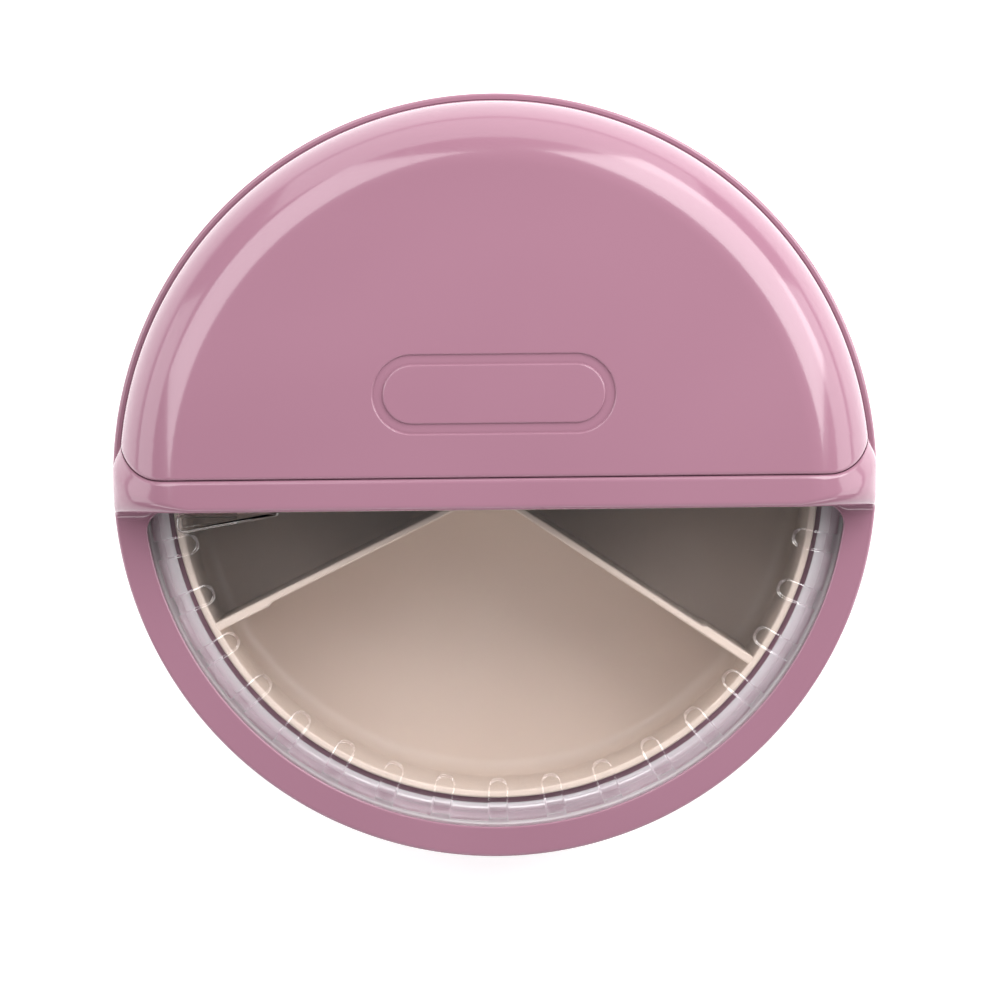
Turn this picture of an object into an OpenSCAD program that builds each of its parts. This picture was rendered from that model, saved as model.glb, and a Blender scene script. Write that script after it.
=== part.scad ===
// Rotating snack container: a round base with a divided tray, and a cover with half of its top
// raised into a dome and the other half open as a window over a clear lid that turns.
// Millimetres. Z is up, the table is Z = 0, the dome is towards +Y and the window towards -Y.

/* [Overall] */
// Outside diameter of base and cover
outer_d = 165; // [140:1:200]
// Height from the table to the top of the dome
total_h = 60; // [52:1:76]
// Height of the joint between base and cover
split_z = 25.3; // [22:0.1:27]

/* [Cover] */
// How far the dome stands above the flat ring
dome_rise = 16; // [14.5:0.5:22]
// Radius of the rounded edge of the dome
dome_round = 13.9; // [9:0.1:14]
// Width of the flat rim left outside the foot of the dome
dome_margin = 1.2; // [1:0.1:3]
// Wall of the dome and of the bar
dome_wall = 2.2; // [1.6:0.1:2.6]
// Radius of the dome's corners in plan
dome_corner = 9; // [5:0.5:14]
// Gap of the seam between dome and bar
seam = 0.3; // [0.2:0.1:0.5]
// Thickness of the flat top plate
plate_t = 1.8; // [1.6:0.1:2.4]
// Width of the flat ring round the window
ring_w = 6.4; // [5.5:0.1:10]
// Wall of the outer skirt
skirt_t = 2.5; // [2:0.1:3]
// Radius of the window's two top corners
window_corner = 4.3; // [3:0.1:7]
// Width of the bar between dome and window
bar_w = 6.9; // [6.9:0.1:12]
// Wall of the lip that hangs round the lid
lip_t = 1.8; // [1.2:0.1:2]
// Radius of the small rounds on outer edges
edge_round = 1.2; // [0.4:0.1:1.2]

/* [Name panel] */
// Length of the debossed panel outline
panel_l = 52; // [30:1:70]
// Height of the debossed panel outline
panel_w = 17; // [10:1:24]
// Width of the debossed line
panel_line = 2.2; // [1:0.1:3]
// Depth of the debossed line
panel_deep = 0.5; // [0.3:0.1:0.8]
// Middle of the panel behind the bar's rear edge
panel_y = 18; // [16:1:26]

/* [Clear lid] */
// Thickness of the clear lid
lid_t = 1.5; // [1.2:0.1:2]
// Radius of the lid's rounded rim
lid_round = 5.6; // [4:0.1:7]
// How far the lid's flange reaches out under the lip
flange_w = 3; // [2:0.1:3.1]
// Thickness of the flange
flange_t = 1.4; // [1:0.1:2]
// How far the flange lies below the rounded rim
flange_drop = 0.5; // [0.3:0.1:1]
// Number of finger flutes round the rim
flute_n = 37; // [12:1:40]
// Width of a flute
flute_w = 4; // [2:0.1:5]
// Depth of a flute
flute_deep = 0.6; // [0.3:0.1:0.8]
// How far a flute runs in from the lid's edge
flute_l = 9.6; // [8:0.1:12]
// First side of the lid's opening, in degrees
open_from = 73; // [60:1:90]
// Last side of the lid's opening, in degrees
open_to = 179; // [150:1:179]
// Inner radius of the opening
open_in_r = 11; // [9:0.5:16]
// Width of the rim left outside the opening
open_edge = 12; // [11:0.5:16]
// Radius of the opening's corners
open_corner = 3; // [1:0.5:5]

/* [Thumb tab] */
// Length of the tab along the lid
tab_l = 22; // [14:0.5:24]
// Distance from the tab's outer end to the lid's edge
tab_inset = 6.8; // [6.5:0.1:10]
// Height of the tab above the lid
tab_h = 5; // [3:0.5:8]
// Wall of the hollow tab
tab_wall = 1.1; // [0.8:0.1:1.2]
// Angle of the tab's free side from the bar, in degrees
tab_angle = 9.9; // [9.5:0.1:11]

/* [Tray] */
// How far the tray stays in from the lid's edge
tray_inset = 5.5; // [5:0.1:7]
// Wall of the tray
tray_wall = 1.6; // [1.2:0.1:2.4]
// Floor of the tray
tray_floor = 1.6; // [1.4:0.1:2.4]
// How much narrower the tray is at its floor, on the radius
tray_draft = 0.8; // [0.5:0.1:3]
// Radius where the tray's wall meets its floor
tray_round = 4; // [3:0.5:8]
// Gap between the tray's underside and the base's floor
tray_lift = 1.6; // [1.2:0.1:3]

/* [Dividers] */
// Thickness of a divider
div_t = 1.45; // [1:0.05:2.2]
// Direction of the first divider, in degrees
div_from = 86; // [80:1:95]
// Diameter of the post that the dividers slide into
hub_d = 7; // [6:0.1:8]
// Place of the post, to the right of the middle
hub_x = -1.2; // [-2:0.1:2]
// Place of the post, behind the middle
hub_y = -3.2; // [-3.5:0.1:0]
// Depth of the post's slots
hub_slot = 1.7; // [1:0.1:1.8]
// How far a divider's end enters the tray's wall
wall_slot = 0.6; // [0.3:0.1:0.8]
// Length of the thicker pad at a divider's outer end
pad_l = 11; // [6:0.5:16]
// How far the pad stands out
pad_t = 0.5; // [0.3:0.1:1]

/* [Base] */
// Wall and floor of the base
base_t = 2.2; // [1.8:0.1:2.8]
// Radius of the base's lower edge
base_round = 18; // [10:0.5:20]
// Wall of the upright spigot that the cover turns round
spigot_t = 2; // [1.5:0.1:2.2]
// Height of the land that joins the rim to the base
land_h = 6; // [4:0.5:7]
// Thickness of the ledge that closes the gap round the tray
ledge_t = 1.5; // [1:0.1:2]
// How far the soft foot ring stands below the base
foot_proud = 0.6; // [0.4:0.1:1.2]
// Width of the foot ring
foot_w = 5; // [3:0.5:8]
// Middle radius of the foot ring, in from the base's flat edge
foot_inset = 5; // [4:0.5:10]

/* [Turn ring] */
// Wall of the ring that the cover turns on
turn_t = 1.8; // [1.2:0.1:2]
// Thickness of its top flange
turn_top = 0.9; // [0.8:0.1:1.2]
// Width of the gap where the ring is split
turn_gap = 3; // [2:0.5:6]
// Height of the bead that holds the ring in the cover
bead_h = 0.9; // [0.8:0.1:1.2]
// How far the bead stands in from the skirt
bead_w = 1.4; // [1:0.1:1.6]
// How far the step above the ring stands in
step_w = 0.8; // [0.6:0.1:0.9]

/* [Pivot and click spring] */
// Diameter of the lid's stub axle
stub_d = 6; // [5.5:0.1:6.2]
// Height of the pivot boss above the plate
boss_h = 4; // [3:0.5:6]
// Wall of the pivot boss
boss_wall = 1.6; // [1.4:0.1:1.8]
// Thickness of the pivot washer
washer_t = 1; // [0.6:0.1:1.5]
// Diameter of the pivot screw
pivot_d = 3; // [2.5:0.1:3.2]
// Width of the click spring
click_w = 5; // [4:0.5:6]
// Thickness of the click spring
click_t = 0.4; // [0.3:0.05:0.6]
// Distance from the spring's screw to its tip
click_l = 14; // [12:0.5:18]
// Radius of the spring's tip
click_tip = 1; // [0.8:0.1:1.5]

/* [Screws] */
// Diameter of the dome screws
screw_d = 2.8; // [2.2:0.1:3.2]
// Diameter of the dome screws' heads
head_d = 5.4; // [4.5:0.1:6]
// Height of the dome screws' heads
head_h = 2; // [1.5:0.1:2.4]
// Height of the raised seats over the heads
seat_h = 3; // [2.5:0.1:4]
// Length of the dome screws under the head
screw_l = 9; // [7:0.5:10]
// Distance of the dome screws from the middle
screw_r = 58; // [50:1:60]

/* [Clearances] */
// Gap between parts that turn or slide past each other
play = 0.3; // [0.25:0.05:0.4]
// Gap between the lid and the plate, up and down
lid_gap = 0.7; // [0.6:0.1:1]
// Gap between the lid and the window's edge
window_gap = 0.5; // [0.4:0.1:0.8]
// Gap between the tray or dividers and the lid
tray_gap = 0.5; // [0.4:0.1:1]
// Gap of the visible joint between base and cover
joint_gap = 0.5; // [0.4:0.1:0.8]
// Radial play of the stub axle in its boss
axle_play = 0.08; // [0.05:0.01:0.1]
// Radial play of a screw in its hole
screw_play = 0.05; // [0.02:0.01:0.08]
// Gap beside a divider in its slot
slot_play = 0.2; // [0.15:0.05:0.3]

/* [Hidden] */
$fn = 96;

pink = [0.83, 0.62, 0.68];
cream = [0.86, 0.80, 0.71];
clear = [0.88, 0.90, 0.94, 0.35];
steel = [0.72, 0.73, 0.75];
white = [0.95, 0.95, 0.93];
soft = [0.78, 0.56, 0.63];
cut = 1;                                   // how far a cutting tool runs past what it cuts

// Levels, from the dome down
ring_z = total_h - dome_rise;              // the flat ring's upper face
plate_z = ring_z - plate_t;                // the plate's underside
lid_z = plate_z - lid_gap;                 // the lid's upper face
lid_under = lid_z - lid_t;
tray_z = lid_under - tray_gap;             // the tray's upper edge
rim_z = lid_z - lid_round;                 // where the lid's rounded rim turns upright
flange_z = rim_z - flange_drop;            // the flange's upper face
flange_under = flange_z - flange_t;
lip_z = flange_z + 2 * play;               // the lip's lower edge
turn_z = flange_under - lid_gap;           // the turn ring's upper face
spigot_z = turn_z - turn_top - play / 3;   // the spigot's upper edge
step_z = turn_z + play;                    // the step over the turn ring
skirt_z = split_z + joint_gap;             // the skirt's lower edge
turn_under = skirt_z + bead_h + play;

// Levels, from the table up
base_z = foot_proud;
base_floor_z = base_z + base_t;
tray_under = base_floor_z + tray_lift;
tray_floor_z = tray_under + tray_floor;

// Radii, from the outside in
cover_r = outer_d / 2;
root_r = cover_r - dome_margin;            // the foot of the dome
flat_r = root_r - dome_round;              // the dome's flat top
skirt_r = cover_r - skirt_t;               // the skirt's bore
step_r = skirt_r - step_w;
bead_r = skirt_r - bead_w;
turn_r = skirt_r - play;
turn_bore = turn_r - turn_t;
spigot_r = turn_bore - play;
spigot_bore = spigot_r - spigot_t;
window_r = cover_r - ring_w;
lid_r = window_r - window_gap;
rim_r = lid_r - lid_round;                 // the edge of the lid's flat
flange_r = lid_r + flange_w;
tray_r = lid_r - tray_inset;
tray_bore = tray_r - tray_wall;
open_r = lid_r - open_edge;
tab_r = lid_r - tab_inset;
base_flat = cover_r - base_round;          // the edge of the base's flat underside
foot_r = base_flat - foot_inset;

boss_r = stub_d / 2 + axle_play + boss_wall;
boss_z = ring_z + boss_h;
stub_z = boss_z + play;
washer_r = min(boss_r, bar_w - dome_wall) - play;
pivot_head = 2;                            // height of the pivot screw's head
pivot_l = 7;                               // length of the pivot screw under its washer
seat_z = ring_z + seat_h;
screw_angles = [35, 70, 110, 145];
support_r = 50;                            // the ring of ribs that the tray stands on
support_t = 2;
lug_w = 5.4;                               // the tray's lugs between those ribs
lug_l = 4;
div_step = 120;

click_x = -click_l;                        // where the spring is screwed down
click_y = rim_r - play * 5;                // over the flutes
click_seat = 2;                            // height of its seat above the plate
click_z = ring_z + click_seat;
click_head = 1.6;
click_d = 2.5;

// Points along an arc
function arc(x, y, r, from, to, n = 16) =
    [for (i = [0 : n]) let (a = from + (to - from) * i / n) [x + r * cos(a), y + r * sin(a)]];

function mirrored(points) = [for (i = [len(points) - 1 : -1 : 0]) [-points[i][0], points[i][1]]];

// Inner radius of the tray's wall at a height
function wall_r(z) =
    tray_bore - tray_draft * (tray_z - z) / (tray_z - tray_floor_z - tray_round);

// Distance from the post to a circle round the middle, in a direction
function reach(a, r) =
    let (along = hub_x * cos(a) + hub_y * sin(a))
    -along + sqrt(r * r - hub_x * hub_x - hub_y * hub_y + along * along);

module ring(outer, inner, low, high) {
    translate([0, 0, low])
        difference() {
            cylinder(r = outer, h = high - low);
            translate([0, 0, -cut]) cylinder(r = inner, h = high - low + 2 * cut);
        }
}

module disc_at(x, y, r, low, high) {
    translate([x, y, low]) cylinder(r = r, h = high - low);
}

// Solid of the dome's outer shape, or of that shape a wall further in
module dome_solid(inset) {
    translate([0, 0, ring_z])
        rotate_extrude()
            union() {
                square([flat_r, dome_rise - inset]);
                square([root_r - inset, dome_rise - dome_round]);
                translate([flat_r, dome_rise - dome_round])
                    intersection() {
                        circle(r = dome_round - inset);
                        square(dome_round);
                    }
            }
}

module dome_shell() {
    difference() {
        dome_solid(0);
        translate([0, 0, -cut / 100]) dome_solid(dome_wall);
    }
}

// Plan of the dome: behind the bar, with rounded corners that run out past its foot, less a gap
module dome_plan(gap) {
    r = dome_corner + seam - gap;
    cy = dome_corner + seam;
    cx = sqrt(pow(root_r - dome_corner + 2 * seam, 2) - cy * cy);
    out = atan2(cy, cx);
    far = cover_r + 2 * cut;
    right = concat(arc(cx, cy, r, -90, out), [[far, far * tan(out)], [far, far]]);
    polygon(concat(right, mirrored(right)));
}

module slab(from_y, to_y, low, high) {
    translate([-cover_r, from_y, low]) cube([2 * cover_r, to_y - from_y, high - low]);
}

module stadium(l, w) {
    square([l - w, w], center = true);
    for (side = [-1, 1]) translate([side * (l - w) / 2, 0]) circle(d = w);
}

// ---------- cover ----------

// The window's cut: the front part of a circle
module window_cut() {
    intersection() {
        disc_at(0, 0, window_r, plate_z - cut, ring_z + cut);
        slab(-cover_r, -bar_w, plate_z - cut, ring_z + cut);
    }
}

// What rounds the window's two upper corners
module window_corners() {
    cy = -bar_w - window_corner;
    cx = sqrt(pow(window_r - window_corner, 2) - cy * cy);
    out = atan2(cy, cx);
    edge_r = window_r + cut;
    points = concat(arc(cx, cy, window_corner, 90, out), [[edge_r * cos(out), edge_r * sin(out)]],
        [[edge_r, -bar_w + cut], [cx, -bar_w + cut]]);
    for (side = [0, 1])
        mirror([side, 0, 0])
            translate([0, 0, plate_z]) linear_extrude(plate_t) polygon(points);
}

module skirt() {
    translate([0, 0, skirt_z])
        rotate_extrude()
            polygon(concat(
                [[bead_r, 0], [cover_r, 0]],
                arc(cover_r - edge_round, ring_z - skirt_z - edge_round, edge_round, 0, 90, 6),
                [[step_r, ring_z - skirt_z], [step_r, step_z - skirt_z], [skirt_r, step_z - skirt_z],
                 [skirt_r, bead_h], [bead_r, bead_h]]));
}

module bar() {
    bar_plan_rear = dome_corner + 4;
    intersection() {
        dome_shell();
        linear_extrude(total_h + cut)
            difference() {
                translate([-cover_r, -bar_w]) square([2 * cover_r, bar_w + bar_plan_rear]);
                dome_plan(0);
            }
    }
    intersection() {
        dome_solid(0);
        slab(-bar_w, dome_wall - bar_w, ring_z, total_h);
    }
}

// The ledge under the dome's straight edge
module bar_ledge() {
    under = dome_wall + seam / 3;
    intersection() {
        difference() {
            dome_solid(under);
            dome_solid(under + dome_wall / 2);
        }
        slab(dome_wall - bar_w - cut, 2 * edge_round + cut, ring_z, total_h);
    }
    intersection() {
        difference() {
            dome_solid(dome_wall - cut / 2);
            dome_solid(under + dome_wall / 2);
        }
        slab(dome_wall - bar_w - cut, -cut, ring_z, total_h);
    }
}

module cover_frame() {
    color(pink)
        difference() {
            union() {
                difference() {
                    disc_at(0, 0, cover_r - edge_round, plate_z, ring_z);
                    window_cut();
                }
                window_corners();
                skirt();
                ring(window_r + lip_t, window_r, lip_z, plate_z + cut / 2);
                bar();
                bar_ledge();
                disc_at(0, 0, boss_r, plate_z, boss_z);
                for (a = screw_angles)
                    rotate(a) disc_at(screw_r, 0, head_d / 2 + play + 1.2, ring_z - cut, seat_z);
                disc_at(click_x, click_y, click_d / 2 + 1.5, ring_z - cut, click_z);
            }
            disc_at(0, 0, stub_d / 2 + axle_play, plate_z - cut, boss_z + cut);
            for (a = screw_angles)
                rotate(a) {
                    disc_at(screw_r, 0, head_d / 2 + play, plate_z - cut, seat_z - plate_t);
                    disc_at(screw_r, 0, screw_d / 2 + play, plate_z - cut, seat_z + cut);
                }
            disc_at(click_x, click_y, click_d / 2 + screw_play, plate_z + play, click_z + cut);
            translate([click_x + click_d / 2 + 1.5 + play, click_y - click_w / 2 - play, plate_z - cut])
                cube([click_l + click_tip + play - click_d / 2, click_w + 2 * play, plate_t + 2 * cut]);
        }
}

module dome_cap() {
    color(pink)
        difference() {
            union() {
                intersection() {
                    dome_shell();
                    linear_extrude(total_h + cut) dome_plan(seam);
                }
                for (a = screw_angles)
                    rotate(a) disc_at(screw_r, 0, screw_d / 2 + 2, seat_z, total_h - dome_wall / 2);
            }
            for (a = screw_angles)
                rotate(a)
                    disc_at(screw_r, 0, screw_d / 2 + screw_play, seat_z - cut, total_h - dome_wall - play);
            translate([0, panel_y, total_h - panel_deep])
                linear_extrude(panel_deep + cut)
                    difference() {
                        stadium(panel_l, panel_w);
                        stadium(panel_l - 2 * panel_line, panel_w - 2 * panel_line);
                    }
        }
}

module dome_screws() {
    under_head = seat_z - plate_t;
    color(steel)
        for (a = screw_angles)
            rotate(a)
                difference() {
                    union() {
                        disc_at(screw_r, 0, head_d / 2, under_head - head_h, under_head);
                        disc_at(screw_r, 0, screw_d / 2, under_head - cut, under_head + screw_l);
                    }
                    for (turn = [0, 90])
                        translate([screw_r, 0, under_head - head_h])
                            rotate(turn) cube([head_d * 0.6, 0.6, head_h], center = true);
                }
}

// ---------- clear lid ----------

module lid_profile() {
    polygon(concat(
        [[0, lid_under], [0, lid_z]],
        arc(rim_r, rim_z, lid_round, 90, 0, 12),
        [[lid_r, flange_z], [flange_r, flange_z], [flange_r, flange_under],
         [lid_r - lid_t, flange_under]],
        arc(rim_r, rim_z, lid_round - lid_t, 0, 90, 12)));
}

// What the flutes cut: a band round the rim, as deep as a flute, where each flute's plan crosses it
module flutes() {
    inner = lid_r - flute_l + flute_w / 2;
    intersection() {
        rotate_extrude()
            polygon(concat(
                [[inner - flute_w, lid_z + cut], [inner - flute_w, lid_z - flute_deep]],
                arc(rim_r, rim_z, lid_round - flute_deep, 90, 0, 8),
                [[lid_r - flute_deep, flange_z + play], [lid_r + cut, flange_z + play],
                 [lid_r + cut, lid_z + cut]]));
        linear_extrude(lid_z + 2 * cut)
            for (i = [0 : flute_n - 1])
                rotate(270 + i * 360 / flute_n)
                    translate([inner, 0]) {
                        circle(d = flute_w);
                        translate([0, -flute_w / 2]) square([lid_r + 2 * cut - inner, flute_w]);
                    }
    }
}

// The opening's plan, a sector with rounded corners
module opening_plan() {
    out = asin(open_corner / (open_r - open_corner));
    in = asin(open_corner / (open_in_r + open_corner));
    function corner(r, a, from, to) = arc(r * cos(a), r * sin(a), open_corner, from, to, 8);
    far = open_r - open_corner;
    near = open_in_r + open_corner;
    polygon(concat(
        corner(near, open_from + in, open_from + in + 180, open_from + 270),
        corner(far, open_from + out, open_from - 90, open_from + out),
        arc(0, 0, open_r, open_from + out + 2, open_to - out - 2, 30),
        corner(far, open_to - out, open_to - out, open_to + 90),
        corner(near, open_to - in, open_to + 90, open_to - in + 180),
        arc(0, 0, open_in_r, open_to - in - 4, open_from + in + 4, 12)));
}

// The tab's plan, shrunk by a wall: one side along the bar, the free side radial
module tab_plan(wall) {
    far = tab_r - wall;
    bar_side = bar_w + play + wall;
    skew = wall / cos(tab_angle);          // the wall measured across the free side's slant
    narrow = (bar_side + skew + play) / tan(tab_angle);
    near = max(tab_r - tab_l + wall, narrow);
    polygon([
        [-far, -bar_side], [-far, skew - far * tan(tab_angle)],
        [-near, skew - near * tan(tab_angle)], [-near, -bar_side]]);
}

module clear_lid() {
    color(clear)
        difference() {
            union() {
                rotate_extrude() lid_profile();
                disc_at(0, 0, stub_d / 2, lid_under, stub_z);
                translate([0, 0, lid_z - lid_t]) linear_extrude(lid_t + tab_h) tab_plan(0);
            }
            flutes();
            translate([0, 0, lid_under - cut]) linear_extrude(lid_t + 2 * cut) opening_plan();
            translate([0, 0, lid_under - cut])
                linear_extrude(lid_t + cut + tab_h - tab_wall) tab_plan(tab_wall);
            disc_at(0, 0, pivot_d / 2 + screw_play, stub_z - pivot_l - play, stub_z + cut);
        }
}

module pivot_washer() {
    color(steel) ring(washer_r, pivot_d / 2 + play / 2, stub_z, stub_z + washer_t);
}

module pivot_screw() {
    top = stub_z + washer_t;
    color(steel)
        difference() {
            union() {
                disc_at(0, 0, pivot_d, top, top + pivot_head);
                disc_at(0, 0, pivot_d / 2, stub_z - pivot_l, top + cut / 2);
            }
            for (turn = [0, 90])
                translate([0, 0, top + pivot_head])
                    rotate(turn) cube([pivot_d * 1.2, 0.7, pivot_head], center = true);
        }
}

// ---------- click spring ----------

// A leaf that starts on its seat and comes down through the plate to the flutes
module click_spring() {
    bend = click_x + click_d / 2 + 1.5;
    tip_z = lid_z + play + click_tip;
    color(steel)
        difference() {
            translate([0, click_y + click_w / 2, 0])
                rotate([90, 0, 0])
                    linear_extrude(click_w)
                        union() {
                            polygon([
                                [click_x - click_d / 2 - 1.2, click_z],
                                [bend, click_z],
                                [-click_tip / 2, tip_z - click_t / 2],
                                [click_tip / 2, tip_z + click_t / 2],
                                [bend + click_t, click_z + click_t],
                                [click_x - click_d / 2 - 1.2, click_z + click_t]]);
                            translate([0, tip_z]) circle(r = click_tip);
                        }
            disc_at(click_x, click_y, click_d / 2 + play / 2, click_z - cut, click_z + cut);
        }
}

module click_screw() {
    top = click_z + click_t;
    color(steel)
        difference() {
            union() {
                disc_at(click_x, click_y, click_d / 2 + 1, top, top + click_head);
                disc_at(click_x, click_y, click_d / 2, plate_z + 2 * play, top + cut / 2);
            }
            for (turn = [0, 90])
                translate([click_x, click_y, top + click_head])
                    rotate(turn) cube([click_d * 1.2, 0.6, click_head], center = true);
        }
}

// ---------- base and turn ring ----------

module base_shell() {
    inner = base_round - base_t;
    color(pink)
        difference() {
            rotate_extrude()
                polygon(concat(
                    [[0, base_z]],
                    arc(base_flat, base_z + base_round, base_round, -90, 0, 24),
                    arc(cover_r - edge_round, split_z - edge_round, edge_round, 0, 90, 6),
                    [[cover_r - base_t, split_z]],
                    arc(base_flat, base_z + base_round, inner, 0, -90, 24),
                    [[0, base_floor_z]]));
            ring(foot_r + foot_w / 2 + play / 3, foot_r - foot_w / 2 - play / 3, base_z - cut,
                base_z + base_t / 2);
        }
    color(pink)
        difference() {
            ring(support_r + support_t, support_r, base_floor_z - cut, tray_under);
            for (i = [0 : 2])
                rotate(30 + i * 120)
                    translate([support_r - cut, -lug_w / 2 - play, base_floor_z])
                        cube([support_t + 2 * cut, lug_w + 2 * play, tray_lift + cut]);
        }
}

module base_rim() {
    land_r = cover_r - base_t - play / 3;
    color(pink)
        rotate_extrude()
            polygon([
                [spigot_bore, split_z - base_t], [land_r - base_t, split_z - base_t],
                [land_r - base_t, split_z - land_h], [land_r, split_z - land_h], [land_r, split_z],
                [spigot_r, split_z], [spigot_r, spigot_z], [tray_r + play, spigot_z],
                [tray_r + play, spigot_z - ledge_t], [spigot_bore, spigot_z - ledge_t]]);
}

module foot_ring() {
    color(soft) ring(foot_r + foot_w / 2, foot_r - foot_w / 2, 0, base_z + base_t / 2);
}

module turn_ring() {
    color(white)
        difference() {
            union() {
                ring(turn_r, turn_bore, turn_under, turn_z);
                ring(turn_r, spigot_bore + play, turn_z - turn_top, turn_z);
            }
            translate([0, -turn_gap / 2, turn_under - cut]) cube([cover_r, turn_gap, turn_z]);
        }
}

// ---------- tray and dividers ----------

// Everything within a divider's own thickness, in one direction from the post
module divider_slab(a, gap) {
    translate([hub_x, hub_y, tray_under])
        rotate(a) translate([0, -div_t / 2 - gap, 0]) cube([cover_r, div_t + 2 * gap, total_h]);
}

module tray() {
    floor_r = tray_bore - tray_draft;
    outer_round = tray_round + tray_wall;
    slot_z = tray_floor_z + tray_round + 2;
    color(cream)
        difference() {
            union() {
                rotate_extrude()
                    polygon(concat(
                        [[0, tray_under]],
                        arc(floor_r - tray_round, tray_under + outer_round, outer_round, -90, 0),
                        [[tray_r, tray_z], [tray_bore, tray_z]],
                        arc(floor_r - tray_round, tray_floor_z + tray_round, tray_round, 0, -90),
                        [[0, tray_floor_z]]));
                for (i = [0 : 2])
                    rotate(30 + i * 120)
                        translate([support_r + support_t / 2 - lug_l / 2, -lug_w / 2, base_floor_z + play])
                            cube([lug_l, lug_w, tray_lift - play + cut]);
            }
            disc_at(hub_x, hub_y, hub_d / 2 + slot_play, tray_floor_z - tray_floor / 2, tray_z);
            for (i = [0 : 2])
                intersection() {
                    divider_slab(div_from + i * div_step, slot_play);
                    rotate_extrude()
                        polygon([
                            [wall_r(slot_z) - cut, slot_z], [wall_r(slot_z) + wall_slot, slot_z],
                            [wall_r(tray_z + cut) + wall_slot, tray_z + cut],
                            [wall_r(tray_z) - cut, tray_z + cut]]);
                }
        }
}

module divider(a) {
    top = tray_z - slot_play;
    slot_z = tray_floor_z + tray_round + 2 + slot_play;
    near = hub_d / 2 - hub_slot + slot_play;
    floor_r = tray_bore - tray_draft;
    low_r = floor_r - tray_round;
    far = reach(a, wall_r(slot_z) - slot_play);
    pad_far = reach(a, wall_r(slot_z) - 2 * slot_play) - pad_t;
    color(cream)
        translate([hub_x, hub_y, 0])
            rotate(a)
                union() {
                    rotate([90, 0, 0])
                        translate([0, 0, -div_t / 2])
                            linear_extrude(div_t)
                                polygon([
                                    [near, tray_floor_z], [reach(a, low_r), tray_floor_z],
                                    [reach(a, low_r + tray_round * 0.55), tray_floor_z + tray_round * 0.2],
                                    [reach(a, floor_r - slot_play), tray_floor_z + tray_round], [far, slot_z],
                                    [reach(a, wall_r(slot_z) + wall_slot - slot_play), slot_z],
                                    [reach(a, wall_r(top) + wall_slot - slot_play), top], [near, top]]);
                    translate([0, 0, slot_z])
                        linear_extrude(top - slot_z)
                            polygon([
                                [pad_far - pad_l - 2 * pad_t, div_t / 2 - pad_t],
                                [pad_far, div_t / 2 - pad_t], [pad_far, div_t / 2 + pad_t],
                                [pad_far - pad_l, div_t / 2 + pad_t],
                                [pad_far - pad_l - 2 * pad_t, div_t / 2]]);
                }
}

module divider_hub() {
    color(cream)
        difference() {
            disc_at(hub_x, hub_y, hub_d / 2, tray_floor_z - tray_floor / 2, tray_z - 2 * slot_play);
            for (i = [0 : 2])
                translate([hub_x, hub_y, tray_floor_z])
                    rotate(div_from + i * div_step)
                        translate([hub_d / 2 - hub_slot, -div_t / 2 - slot_play, 0])
                            cube([hub_d, div_t + 2 * slot_play, total_h]);
        }
}

module divider_rear() {
    divider(div_from);
}

module divider_left() {
    divider(div_from + div_step);
}

module divider_right() {
    divider(div_from + 2 * div_step);
}

base_shell();
base_rim();
foot_ring();
tray();
divider_hub();
divider_rear();
divider_left();
divider_right();
turn_ring();
clear_lid();
pivot_screw();
pivot_washer();
cover_frame();
dome_cap();
dome_screws();
click_spring();
click_screw();
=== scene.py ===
import math

import bmesh
import bpy
import numpy as np
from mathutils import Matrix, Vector
from mathutils.geometry import tessellate_polygon


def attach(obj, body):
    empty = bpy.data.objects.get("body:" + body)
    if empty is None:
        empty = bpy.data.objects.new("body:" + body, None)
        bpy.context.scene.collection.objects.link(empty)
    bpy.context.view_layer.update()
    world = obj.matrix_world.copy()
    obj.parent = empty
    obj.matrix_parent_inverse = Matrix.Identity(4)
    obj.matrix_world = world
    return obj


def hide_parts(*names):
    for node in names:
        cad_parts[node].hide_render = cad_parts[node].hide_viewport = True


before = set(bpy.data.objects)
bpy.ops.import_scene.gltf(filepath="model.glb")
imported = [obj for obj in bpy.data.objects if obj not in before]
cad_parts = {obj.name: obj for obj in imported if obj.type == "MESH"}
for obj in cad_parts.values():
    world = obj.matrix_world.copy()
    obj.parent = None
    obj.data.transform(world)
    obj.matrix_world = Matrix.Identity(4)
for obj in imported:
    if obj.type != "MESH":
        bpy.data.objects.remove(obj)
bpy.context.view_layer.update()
print("frame loaded:", len(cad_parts), "CAD nodes")

# Lengths in the piece dictionaries are millimetres, angles are degrees
mm = 0.001
mergeGap = 1e-7  # metres: points closer than this become one
peelHeight = 0.00002  # metres: height of the moulded skin's orange peel


def newShell():
    return {"points": [], "faces": []}


def addLoop(shell, loop):
    start = len(shell["points"])
    shell["points"].extend(tuple(map(float, p)) for p in loop)
    return list(range(start, start + len(loop)))


def addFace(shell, corners):
    face = []
    for c in corners:
        if c not in face:
            face.append(c)
    if len(face) > 2:
        shell["faces"].append(tuple(face))


def bridge(shell, first, second, closed=True):
    n = len(first)
    for i in range(n if closed else n - 1):
        j = (i + 1) % n
        addFace(shell, (first[i], first[j], second[j], second[i]))


def stack(shell, loops, closed=True):
    rings = [addLoop(shell, loop) for loop in loops]
    for a, b in zip(rings, rings[1:]):
        bridge(shell, a, b, closed)
    return rings


def fillFlat(shell, loops):
    # Triangles over a flat area: the first loop is the outside, the others are holes
    flat = [i for loop in loops for i in loop]
    corners = [[Vector(shell["points"][i]) for i in loop] for loop in loops]
    for tri in tessellate_polygon(corners):
        addFace(shell, [flat[k] for k in tri])


def ringPoints(r, z, turn):
    return np.column_stack([r * np.cos(turn), r * np.sin(turn), np.full(len(turn), z)])


def circleAt(x, y, r, z, n=32):
    turn = np.linspace(0, 2 * math.pi, n, endpoint=False)
    return ringPoints(r, z, turn) + np.array([x, y, 0])


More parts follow.
